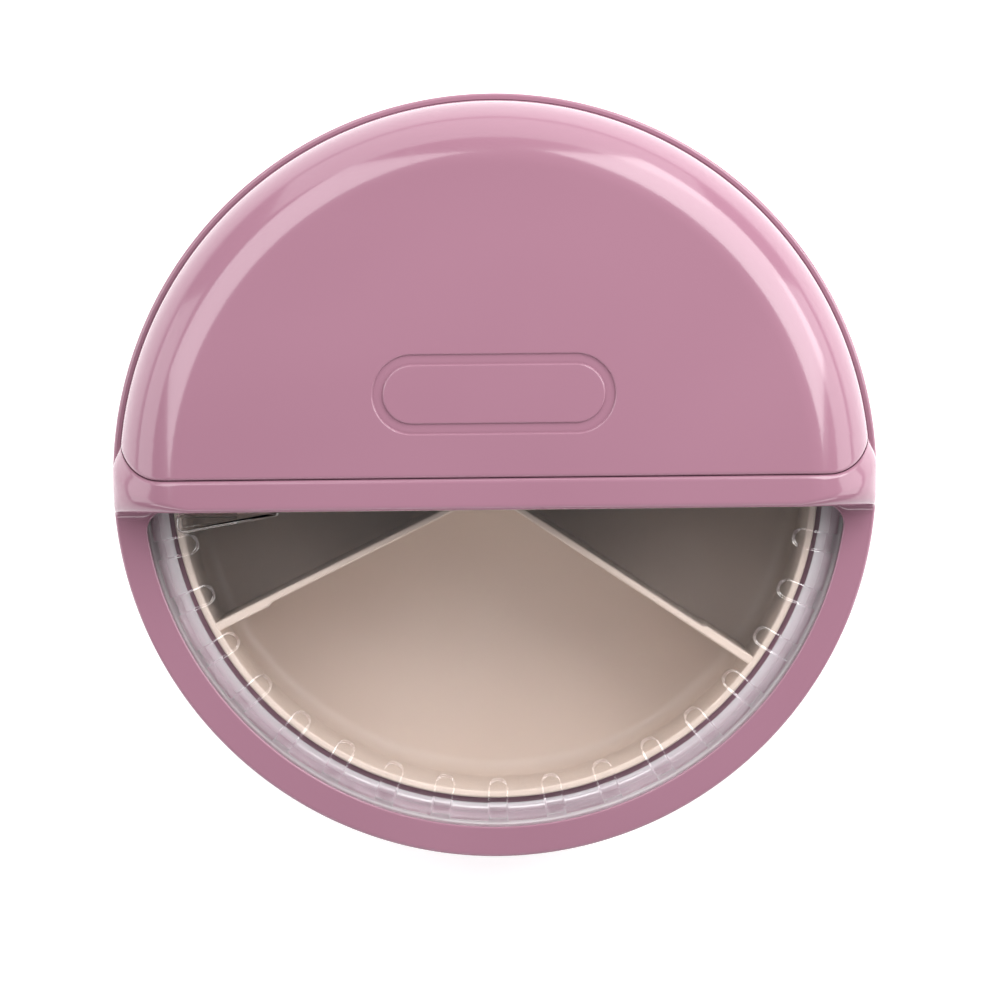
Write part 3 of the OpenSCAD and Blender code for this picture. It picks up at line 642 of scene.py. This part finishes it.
def addBar(shell, s):
    curve = domeCornerCurve(0)
    radii = np.hypot(curve[:, 0], curve[:, 1])

    def rearY(rho):
        return float(np.interp(rho, radii, curve[:, 1])) if rho > radii[0] else 0.0

    d = domeSize
    # Radii from the middle to one end, with the height given only below the dome's own curve
    halfway = [(x, None) for x in np.linspace(0, 60, 21)] + [(x, None) for x in np.linspace(61, 69.9, 12)]
    arc = np.linspace(math.asin((70.05 - d["flatR"]) / d["round"]), math.pi / 2, 30)
    halfway += [(d["flatR"] + d["round"] * math.sin(a), None) for a in arc]
    halfway += [(d["rootR"], z) for z in np.linspace(d["top"] - d["round"] - 0.5, s["foot"] + 0.1, 6)]
    stations = [(rho, z, -1) for rho, z in reversed(halfway)] + [(rho, z, 1) for rho, z in halfway[1:]]
    rings = []
    for rho, z, side in stations:
        top = float(domeZ(rho)) if z is None else z
        hollow = rho < s["hollow"] and z is None
        w = float(np.clip((rho - s["bowFrom"]) / (d["flatR"] - s["bowFrom"]), 0, 1))
        w = ease(w)
        end = float(np.clip((rho - s["endFrom"]) / s["endSpan"], 0, 1))
        room = top - s["foot"]
        fr = min(s["frontRound"] + (s["endRound"] - s["frontRound"]) * end, room * 0.4)
        rr = min(s["rearRound"], room * 0.4)
        frontY, backY = -coverSize["barW"], rearY(rho)
        # At the ends a hollow round joins the bar's front to the ring beside the window
        wallTop = top - fr - min(0.2, room * 0.05)
        grow = float(np.clip((rho - s["footFrom"]) / s["footSpan"], 0, 1)) ** 2
        foot = min(s["footLeast"] + s["footRound"] * grow,
                   max(s["footLeast"], (wallTop - coverSize["top"]) * 0.9))
        section = [(frontY - foot, s["foot"] + min(0.3, room * 0.1))]
        section += [(frontY - foot + foot * math.sin(a),
                     min(coverSize["top"] + foot - foot * math.cos(a), wallTop - 0.01 * (8 - k)))
                    for k, a in enumerate(np.linspace(0, math.pi / 2, 6))]
        section += [(frontY, wallTop)]
        section += roundPath(frontY + fr, top - fr, fr, -math.pi / 2, 0, 8)
        inner = np.linspace(frontY + fr, backY - rr, 7)
        section += [(frontY + fr + 0.15, top)] + [(y, top) for y in inner[1:-1]] + [(backY - rr - 0.15, top)]
        section += roundPath(backY - rr, top - rr, rr, 0, math.pi / 2, 6)
        if hollow:
            section += [(backY, top - s["wall"] - 0.1), (backY + s["ledge"], top - s["wall"] - 0.1),
                        (backY + s["ledge"], top - s["wall"] - 1.2), (frontY + s["wall"], top - s["wall"] - 1.2),
                        (frontY + s["wall"], s["foot"]), (frontY + 0.3, s["foot"])]
        else:
            drop = top - rr - s["foot"]
            section += [(backY, top - rr - drop * 0.5), (backY, top - rr - drop * 0.9), (backY, s["foot"]),
                        (frontY * 0.3 + backY * 0.7, s["foot"]), (frontY * 0.6 + backY * 0.4, s["foot"]),
                        (frontY + 0.3, s["foot"])]
        section = np.array(section)
        y = section[:, 0]
        flare = float(np.clip((rho - s["flareFrom"]) / (d["rootR"] - s["flareFrom"]), 0, 1))
        reachBack = np.clip((backY - y) / s["flareDeep"], 0, 1)
        rho = rho + s["flare"] * ease(flare) * ease(reachBack)
        x = rho * ((1 - w) + w * np.sqrt(np.clip(1 - (y / np.maximum(rho, 1e-6)) ** 2, 0, 1)))
        rings.append(addLoop(shell, np.column_stack([side * x, y, section[:, 1]])))
    for a, b in zip(rings, rings[1:]):
        bridge(shell, a, b)
    shell["faces"].append(tuple(rings[0]))
    shell["faces"].append(tuple(rings[-1]))


coverShell = coverPlate(coverSize)
addBar(coverShell, barSize)
coverFrame = makePiece("coverFrame", coverShell, sharp=35)
settle(coverFrame, pinkPlastic, "cover", "pink_plastic", "cover_frame")


def stadiumLoop(length, width, y, count):
    # Points round a stadium outline, evenly spaced and starting at its right-hand end
    r, half = width / 2, (length - width) / 2
    ends = np.linspace(0, math.pi / 2, 30)
    quarter = np.column_stack([half + r * np.cos(ends), r * np.sin(ends)])
    top = np.concatenate([quarter, quarter[::-1] * [-1, 1]])
    whole = np.concatenate([top, top[::-1] * [1, -1]])
    whole = np.concatenate([whole, whole[:1]])
    gaps = np.linalg.norm(np.diff(whole, axis=0), axis=1)
    run = np.concatenate([[0], np.cumsum(gaps)])
    at = np.linspace(0, run[-1], count, endpoint=False)
    return np.column_stack([np.interp(at, run, whole[:, 0]), y + np.interp(at, run, whole[:, 1])])


def domeCap(s):
    # The plan: straight edge, two corners and the foot circle, counter-clockwise from the right-hand side
    corner = domeCornerCurve(s["seam"])
    rim = math.atan2(corner[-1, 1], corner[-1, 0])
    sweep = np.linspace(rim, math.pi - rim, 400)
    foot = np.column_stack([s["rootR"] * np.cos(sweep), s["rootR"] * np.sin(sweep)])
    plan = np.concatenate([corner, foot[1:], corner[::-1][1:] * [-1, 1]])
    plan = np.concatenate([plan, plan[:1]])
    plan = sampled(plan, s["spacing"])[:-1]
    middle = np.array([0, s["panelY"]])
    start = int(np.argmin(np.abs(np.arctan2(plan[:, 1] - middle[1], plan[:, 0]))))
    plan = np.roll(plan, -start, 0)
    count = len(plan)

    # Each station's point on the panel outline lies in the same direction from the panel's middle
    def panelLoop(length, width):
        base = stadiumLoop(length, width, s["panelY"], 2000)
        bearing = np.unwrap(np.arctan2(base[:, 1] - middle[1], base[:, 0]))
        want = np.unwrap(np.arctan2(plan[:, 1] - middle[1], plan[:, 0]))
        # half way between equal bearings and equal spacing
        even = np.interp(np.linspace(0, 2000, count, endpoint=False), np.arange(2000), bearing)
        want = want - want[0] + bearing[0]
        mixed = 0.5 * want + 0.5 * even
        return np.column_stack([np.interp(mixed, bearing, base[:, k], period=2 * math.pi) for k in (0, 1)])

    shell = newShell()
    lineW, deep, soft = s["lineW"], s["lineDeep"], s["lineSoft"]

    def panelRing(grow, drop):
        return atHeight(panelLoop(s["panelL"] + 2 * grow, s["panelW"] + 2 * grow), s["top"] - drop)

    def groove(edge, way):
        # The rounded shoulder on one side of the line: way is +1 for its outer side
        turn = np.radians([90, 67.5, 45, 22.5, 0])
        return [panelRing(edge + way * (soft - soft * math.cos(a)), soft - soft * math.sin(a)) for a in turn]

    inside = [panelRing(-lineW - soft - 0.15, 0)] + groove(-lineW, -1) + [panelRing(-lineW + 0.12, deep)]
    outside = [panelRing(-0.12, deep)] + groove(0, 1)[::-1] + [panelRing(soft + 0.15, 0)]
    rings = stack(shell, inside + outside)
    fillFlat(shell, [rings[0]])

    # The dome's skin from the panel out to the plan, evenly spaced along the surface
    levels = s["levels"]
    edgeIn = offsetLoop(plan, -s["edge"])
    inner = panelLoop(s["panelL"] + 2 * (soft + 0.15), s["panelW"] + 2 * (soft + 0.15))
    fine = np.linspace(0, 1, 600)
    skin = np.zeros((levels, count, 3))
    r0 = np.hypot(plan[:, 0], plan[:, 1])
    atFoot = np.clip((r0 - (s["rootR"] - 0.9)) / 0.8, 0, 1)
    for k in range(count):
        goal = edgeIn[k] * (1 - atFoot[k]) + plan[k] * atFoot[k]
        path = inner[k] + (goal - inner[k]) * fine[:, None]
        z = domeZ(np.hypot(path[:, 0], path[:, 1]))
        whole = np.column_stack([path, z])
        run = np.concatenate([[0], np.cumsum(np.linalg.norm(np.diff(whole, axis=0), axis=1))])
        at = np.linspace(0, run[-1], levels)
        for axis in range(3):
            skin[:, k, axis] = np.interp(at, run, whole[:, axis])
    last = rings[-1]
    for level in range(1, levels):
        loop = addLoop(shell, skin[level])
        bridge(shell, last, loop)
        last = loop

    # The edge: a small round along the seam, a plain foot on the plate, then the shell's thickness
    zTop = domeZ(r0)
    innerR = s["rootR"] - s["wall"]
    zInner = np.where(r0 < innerR, domeZ(np.clip(r0, 0, innerR), s["wall"]), s["low"])
    zLow = np.where(atFoot > 0.5, s["low"], np.maximum(zInner, s["low"]))
    e = s["edge"]
    for a in np.radians([22.5, 45, 67.5, 90]):
        share = (1 - math.sin(a))
        flat = plan * atFoot[:, None] + (plan + (edgeIn - plan) * share) * (1 - atFoot[:, None])
        drop = (1 - math.cos(a)) * e * (1 - atFoot)
        edgeTop = domeZ(np.hypot(flat[:, 0], flat[:, 1]))
        loop = addLoop(shell, atHeight(flat, edgeTop - drop))
        bridge(shell, last, loop)
        last = loop
    for share in (0.4, 0.9, 1.0):
        z = (zTop - e) * (1 - share) + zLow * share
        flat = offsetLoop(plan, -0.2) if share == 1.0 else plan
        loop = addLoop(shell, atHeight(flat, z))
        bridge(shell, last, loop)
        last = loop
    thick = 0.3 + (s["wall"] - 0.3) * np.clip((r0 - 70) / 8, 0, 1)
    away = offsetLoop(plan, -1.0) - plan
    flat = plan + away * thick[:, None]
    rIn = np.hypot(flat[:, 0], flat[:, 1])
    zIn = np.where(atFoot > 0.5, s["low"], np.minimum(zLow, domeZ(np.clip(rIn, 0, innerR), s["wall"])))
    loop = addLoop(shell, atHeight(flat, np.maximum(zIn, s["low"])))
    bridge(shell, last, loop)
    last = loop
    hub = panelLoop(s["panelL"], s["panelW"])
    for share in (0.03, 0.07, 0.12, 0.17, 0.24, 0.34, 0.5, 0.7, 1.0):
        inFlat = flat + (hub - flat) * share
        z = domeZ(np.clip(np.hypot(inFlat[:, 0], inFlat[:, 1]), 0, innerR), s["wall"])
        loop = addLoop(shell, atHeight(inFlat, z))
        bridge(shell, last, loop)
        last = loop
    fillFlat(shell, [last])
    return makePiece("domeCap", shell, sharp=35)


settle(domeCap(domeSize), pinkPlastic, "cover", "pink_plastic", "dome_cap")
print("cover done")


lidSize = {"top": 41.5, "t": 1.5, "round": 5.6, "r": 75.6, "flangeR": 78.6, "flangeZ": 35.4, "flangeT": 1.4,
           "openFrom": 73, "openTo": 179, "openIn": 11, "openOut": 63.6, "openCorner": 3, "bandIn": 64.6,
           "stubR": 3.0, "stubTop": 48.3, "boreR": 1.55, "boreLow": 41.0, "edge": 0.3,
           "notchFrom": 184.7, "notchTo": 190.22, "notchIn": 69.66,
           # the last entry is the radius beyond which the rim takes the painted light of a partly diffuse white
           # skin
           "paintedLightRimFrom": 70.9}
fluteSize = {"count": 37, "width": 4.0, "depth": 0.6, "length": 9.6, "flank": 0.3, "from": 270, "below": 1}
tabSize = {"far": 68.8, "near": 46.8, "barSide": 7.2, "angle": 9.9, "height": 5.0, "wall": 1.1, "edge": 0.7,
           "tip": 1.6, "foot": 0.1}


def fluteStations(r):
    # Angles round the lid, with close spacing along each flute's two sides
    pitch = 2 * math.pi / fluteSize["count"]
    offsets = [0, 0.5, 0.9, 1.2, 1.42, 1.6, 1.72, 1.84, 1.96, 2.08, 2.2, 2.4, 3.2, 4.8]
    offsets = [-o for o in offsets[:0:-1]] + offsets
    turn = []
    for k in range(fluteSize["count"]):
        mid = math.radians(fluteSize["from"]) + k * pitch
        turn += [mid - pitch / 2] + [mid + o / r for o in offsets]
    return np.array(turn)


def sectorPlan(s):
    out = math.degrees(math.asin(s["openCorner"] / (s["openOut"] - s["openCorner"])))
    into = math.degrees(math.asin(s["openCorner"] / (s["openIn"] + s["openCorner"])))

    def roundAt(r, a, start, stop):
        turn = np.radians(np.linspace(start, stop, 9))
        return np.column_stack([r * math.cos(math.radians(a)) + s["openCorner"] * np.cos(turn),
                                r * math.sin(math.radians(a)) + s["openCorner"] * np.sin(turn)])

    def sweep(r, start, stop, n):
        turn = np.radians(np.linspace(start, stop, n))
        return np.column_stack([r * np.cos(turn), r * np.sin(turn)])

    a0, a1 = s["openFrom"], s["openTo"]
    far, near = s["openOut"] - s["openCorner"], s["openIn"] + s["openCorner"]
    return np.concatenate([
        roundAt(near, a0 + into, a0 + into + 180, a0 + 270), roundAt(far, a0 + out, a0 - 90, a0 + out),
        sweep(s["openOut"], a0 + out + 1, a1 - out - 1, 60), roundAt(far, a1 - out, a1 - out, a1 + 90),
        roundAt(near, a1 - into, a1 + 90, a1 - into + 180), sweep(s["openIn"], a1 - into - 3, a0 + into + 3, 20)])


def tabPlan(s, wall):
    skew = wall / math.cos(math.radians(s["angle"]))
    slope = math.tan(math.radians(s["angle"]))
    far, side = s["far"] - wall, s["barSide"] + wall
    near = max(s["near"] + wall, (side + skew + 0.3) / slope)
    corners = [(-far, -side, s["tip"] - wall * 0.7), (-far, skew - far * slope, s["tip"] - wall * 0.7),
               (-near, skew - near * slope, 0.35), (-near, -side, 0.35)]
    return rounded(corners, steps=6)


def pressFlutesTree():
    # Presses the outer skin inwards wherever a round-ended flute crosses it
    tree = bpy.data.node_groups.new("pressFlutes", "GeometryNodeTree")
    face = tree.interface
    face.new_socket(name="Geometry", in_out="INPUT", socket_type="NodeSocketGeometry")
    for label, value in (("Count", 37.0), ("First Angle", 4.712), ("Width", 0.004), ("Depth", 0.0006),
                         ("Middle Of Round End", 0.068), ("Flank", 0.0003), ("Lowest", 0.0356)):
        face.new_socket(name=label, in_out="INPUT", socket_type="NodeSocketFloat").default_value = value
    face.new_socket(name="Material", in_out="INPUT", socket_type="NodeSocketMaterial")
    face.new_socket(name="Geometry", in_out="OUTPUT", socket_type="NodeSocketGeometry")
    start, end = tree.nodes.new("NodeGroupInput"), tree.nodes.new("NodeGroupOutput")
    link = tree.links.new
    get = start.outputs

    def op(kind, first, second=None):
        return mathNode(tree, kind, first, second)

    place = tree.nodes.new("ShaderNodeSeparateXYZ")
    link(tree.nodes.new("GeometryNodeInputPosition").outputs[0], place.inputs[0])
    x, y, z = place.outputs
    radius = op("SQRT", op("ADD", op("MULTIPLY", x, x), op("MULTIPLY", y, y)))
    pitch = op("DIVIDE", 2 * math.pi, get["Count"])
    turns = op("DIVIDE", op("SUBTRACT", op("ARCTAN2", y, x), get["First Angle"]), pitch)
    local = op("SUBTRACT", turns, op("ROUND", turns))
    across = op("MULTIPLY", op("MULTIPLY", local, pitch), radius)
    short = op("MINIMUM", op("SUBTRACT", radius, get["Middle Of Round End"]), 0)
    away = op("SQRT", op("ADD", op("MULTIPLY", across, across), op("MULTIPLY", short, short)))
    edge = op("DIVIDE", op("SUBTRACT", op("MULTIPLY", get["Width"], 0.5), away), get["Flank"])
    side = addNode(tree, "ShaderNodeMapRange", {"From Min": -0.5, "From Max": 0.5},
                   interpolation_type="SMOOTHSTEP")
    link(edge, side.inputs["Value"])
    foot = addNode(tree, "ShaderNodeMapRange", {"To Min": 0.0, "To Max": 1.0}, interpolation_type="SMOOTHSTEP")
    link(z, foot.inputs["Value"])
    link(get["Lowest"], foot.inputs["From Min"])
    link(op("ADD", get["Lowest"], get["Flank"]), foot.inputs["From Max"])
    skin = addNode(tree, "GeometryNodeInputNamedAttribute", {"Name": "outerSkin"}, data_type="FLOAT")
    inside = op("MULTIPLY", side.outputs["Result"], foot.outputs["Result"])
    amount = op("MULTIPLY", inside, skin.outputs["Attribute"])
    push = tree.nodes.new("ShaderNodeVectorMath")
    push.operation = "SCALE"
    link(tree.nodes.new("GeometryNodeInputNormal").outputs[0], push.inputs[0])
    link(op("MULTIPLY", op("MULTIPLY", amount, get["Depth"]), -1), push.inputs["Scale"])
    setPlace = tree.nodes.new("GeometryNodeSetPosition")
    realize = tree.nodes.new("GeometryNodeRealizeInstances")
    paint = tree.nodes.new("GeometryNodeSetMaterial")
    link(get["Geometry"], setPlace.inputs["Geometry"])
    link(push.outputs[0], setPlace.inputs["Offset"])
    link(setPlace.outputs["Geometry"], realize.inputs[0])
    link(realize.outputs[0], paint.inputs["Geometry"])
    link(get["Material"], paint.inputs["Material"])
    link(paint.outputs[0], end.inputs["Geometry"])
    return tree


def runTree(piece, tree, values):
    modifier = piece.modifiers.new(tree.name, "NODES")
    modifier.node_group = tree
    ids = {item.name: item.identifier for item in tree.interface.items_tree if item.in_out == "INPUT"}
    for label, value in values.items():
        modifier[ids[label]] = value
    bpy.context.view_layer.update()
    finished = bpy.data.meshes.new_from_object(piece.evaluated_get(bpy.context.evaluated_depsgraph_get()))
    piece.modifiers.clear()
    piece.data = finished
    finished.name = piece.name
    return piece


def clearLid(s, flutes, tab):
    shell = newShell()
    under, rimR = s["top"] - s["t"], s["r"] - s["round"]
    rimZ = s["top"] - s["round"]

    # The rim: in from the flat, over the round, down to the flange and back up inside
    path = [(r, s["top"]) for r in list(np.arange(s["bandIn"], 68.4, 0.22)) + [68.9, 69.5, rimR - 0.15]]
    path += roundPath(rimR, rimZ, s["round"], 0, math.pi / 2, 18)
    outerCount = len(path)
    flangeLow = s["flangeZ"] - s["flangeT"]
    path += list(rounded([
        (s["r"], rimZ - 0.02, 0), (s["r"], s["flangeZ"], 0.2), (s["flangeR"], s["flangeZ"], 0.35),
        (s["flangeR"], flangeLow, 0.35), (s["r"] - s["t"], flangeLow, 0.3), (s["r"] - s["t"], rimZ - 0.02, 0)],
        steps=4, closed=False))
    path += roundPath(rimR, rimZ, s["round"] - s["t"], math.pi / 2, 0, 12)
    path += [(rimR - 0.15, under), (s["bandIn"], under)]

    def bandRing(r, z):
        # Beside the tab the band starts further out, between two flutes
        turn = fluteStations(max(r, 62))
        fixed = fluteStations(s["notchIn"])
        degrees = np.degrees(fixed) % 360
        notch = (degrees > s["notchFrom"]) & (degrees < s["notchTo"])
        squeezed = s["notchIn"] + 0.15 * (r - s["bandIn"]) / (rimR - 0.5 - s["bandIn"])
        radius = np.where(notch & (r < rimR - 0.4), squeezed, r)
        turn = np.where(notch & (r < rimR - 0.1), fixed, turn)
        return np.column_stack([radius * np.cos(turn), radius * np.sin(turn), np.full(len(turn), z)])

    rings = stack(shell, [bandRing(r, z) for r, z in path])
    outer = {i for ring in rings[:outerCount + 3] for i in ring}

    # The opening, the tab and the stub axle
    e = s["edge"]
    plan = sectorPlan(s)
    curve = np.radians([90, 67.5, 45, 22.5, 0])
    edge = [(e + 0.12, 0)] + [(e - e * math.cos(a), e - e * math.sin(a)) for a in curve]
    opening = stack(shell, [atHeight(offsetLoop(plan, grow), s["top"] - drop) for grow, drop in edge]
                    + [atHeight(offsetLoop(plan, grow), under + drop) for grow, drop in reversed(edge)])
    outline = tabPlan(tab, 0)
    tabTop, tr, foot = s["top"] + tab["height"], tab["edge"], tab["foot"]
    walls = [(foot + 0.04, s["top"])]
    walls += [(foot - foot * math.cos(a), s["top"] + foot - foot * math.sin(a)) for a in curve]
    walls += [(0, tabTop - tr - 0.1)] + roundPath(-tr, tabTop - tr, tr, math.pi / 2, 0, 7) + [(-tr - 0.1, tabTop)]
    body = stack(shell, [atHeight(offsetLoop(outline, grow), z) for grow, z in walls])
    fillFlat(shell, [body[-1]])
    hollow = tabPlan(tab, tab["wall"])
    ceiling = tabTop - tab["wall"]
    inside = stack(shell, [atHeight(hollow, z) for z in (under, under + 0.1, ceiling - 0.3)]
                   + [atHeight(offsetLoop(hollow, -0.12), ceiling)])
    fillFlat(shell, [inside[-1]])
    stub = stack(shell, [circleAt(0, 0, r, z, 48) for r, z in (
        (s["stubR"] + 0.5, s["top"]), (s["stubR"] + 0.15, s["top"] + 0.15), (s["stubR"], s["top"] + 0.5),
        (s["stubR"], s["stubTop"] - 0.3), (s["stubR"] - 0.3, s["stubTop"]), (s["boreR"], s["stubTop"]),
        (s["boreR"], s["boreLow"]))])
    fillFlat(shell, [stub[-1]])
    fillFlat(shell, [rings[0], opening[0], body[0], stub[0]])
    fillFlat(shell, [rings[-1], opening[-1], inside[0]])

    piece = makePiece("clearLid", shell, sharp=50)
    # makePiece keeps the order of the points, so the mask can be written by index
    mask = piece.data.attributes.new("outerSkin", "FLOAT", "POINT")
    mask.data.foreach_set("value", [1.0 if i in outer else 0.0 for i in range(len(piece.data.vertices))])
    runTree(piece, pressFlutesTree(), {
        "Count": float(flutes["count"]), "First Angle": math.radians(flutes["from"]),
        "Width": flutes["width"] * mm, "Depth": flutes["depth"] * mm, "Flank": flutes["flank"] * mm,
        "Middle Of Round End": (s["r"] - flutes["length"] + flutes["width"] / 2) * mm,
        "Lowest": (s["flangeZ"] - flutes["below"]) * mm, "Material": clearPlastic})
    # Painted light: faces out on the rounded rim take the partly diffuse white plastic, standing in for light
    # carried through the clear rim
    piece.data.materials.append(paintedLightRimPlastic)
    for face in piece.data.polygons:
        if face.center.xy.length > s["paintedLightRimFrom"] * mm:
            face.material_index = 1
    return piece


settle(clearLid(lidSize, fluteSize, tabSize), None, "lid", "clear_plastic", "clear_lid")
print("clear lid done")


# The small metal parts keep their CAD shapes
for node, material in (("pivot_screw", screwSteel), ("pivot_washer", screwSteel), ("dome_screws", screwSteel),
                       ("click_screw", screwSteel), ("click_spring", springSteel)):
    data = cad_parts[node].data
    data.materials.clear()
    data.materials.append(material)


# The floor and the camera's distance are in metres, the lens and the aim in millimetres
stageSize = {"floor": 6.0, "drop": 0.00002, "floorShade": 0.92, "floorGlow": 0.45, "camera": 1.5, "lens": 250,
             "aimX": 1.06, "aimY": -5.3, "aimZ": 44, "tilt": 2.1, "roll": 0.6, "clipEnd": 20, "room": 0.1}
# Each light's bearing round the object, angle from straight above, distance and size in metres
lightSize = {
    "leftBox": {"bearing": 139, "zenith": 38.6, "away": 0.5, "wide": 0.39, "high": 0.30, "watts": 1.4},
    "rightBox": {"bearing": 41, "zenith": 50, "away": 0.5, "wide": 0.43, "high": 0.38, "watts": 3.0},
    "rearPanel": {"bearing": 90, "zenith": 72, "away": 0.6, "wide": 0.9, "high": 0.4, "watts": 2.1},
    "leftPanel": {"bearing": 178, "zenith": 74, "away": 0.6, "wide": 0.6, "high": 0.3, "watts": 1.3},
    "rightPanel": {"bearing": 4, "zenith": 74, "away": 0.6, "wide": 0.6, "high": 0.3, "watts": 1.5},
    "frontStrip": {"bearing": 268, "zenith": 56, "away": 0.6, "wide": 1.5, "high": 0.13, "watts": 2.3},
}


def floorSheet(s):
    half = s["floor"] / 2
    mesh = bpy.data.meshes.new("floor")
    low = -s["drop"]
    mesh.from_pydata([(-half, -half, low), (half, -half, low), (half, half, low), (-half, half, low)], [],
                     [(0, 1, 2, 3)])
    sheet = bpy.data.objects.new("floor", mesh)
    bpy.context.scene.collection.objects.link(sheet)
    material = bpy.data.materials.new("paleFloor")
    material.use_nodes = True
    shader = material.node_tree.nodes["Principled BSDF"]
    shader.inputs["Base Color"].default_value = (s["floorShade"],) * 3 + (1,)
    shader.inputs["Roughness"].default_value = 0.7
    shader.inputs["Emission Color"].default_value = (1, 1, 1, 1)
    shader.inputs["Emission Strength"].default_value = s["floorGlow"]
    mesh.materials.append(material)


def softbox(name, s):
    data = bpy.data.lights.new(name, "AREA")
    data.shape = "RECTANGLE"
    data.size, data.size_y, data.energy = s["wide"], s["high"], s["watts"]
    lamp = bpy.data.objects.new(name, data)
    zenith, bearing = math.radians(s["zenith"]), math.radians(s["bearing"])
    way = Vector((math.sin(zenith) * math.cos(bearing), math.sin(zenith) * math.sin(bearing), math.cos(zenith)))
    lamp.location = way * s["away"] + Vector((0, 0, 0.05))
    lamp.rotation_euler = way.to_track_quat("Z", "Y").to_euler()
    bpy.context.scene.collection.objects.link(lamp)


def setCamera(s):
    data = bpy.data.cameras.new("camera")
    data.lens, data.sensor_width = s["lens"], 36
    camera = bpy.data.objects.new("camera", data)
    tilt = math.radians(s["tilt"])
    aim = Vector((s["aimX"], s["aimY"], s["aimZ"])) * mm
    back = Vector((0, math.sin(tilt), math.cos(tilt)))
    camera.location = aim + back * s["camera"]
    # Looking down with the window towards the bottom of the picture, rolled a little
    camera.rotation_euler = (-tilt, 0, 0)
    camera.rotation_euler.rotate_axis("Z", math.radians(-s["roll"]))
    bpy.context.scene.collection.objects.link(camera)
    bpy.context.scene.camera = camera
    data.clip_end = s["clipEnd"]


floorSheet(stageSize)
for name, box in lightSize.items():
    softbox(name, box)
setCamera(stageSize)
world = bpy.data.worlds.new("room")
bpy.context.scene.world = world
world.use_nodes = True
room = world.node_tree.nodes["Background"]
room.inputs["Color"].default_value = (1, 1, 1, 1)
room.inputs["Strength"].default_value = stageSize["room"]
bpy.context.scene.view_settings.view_transform = "Standard"
print("floor, lights and camera done")
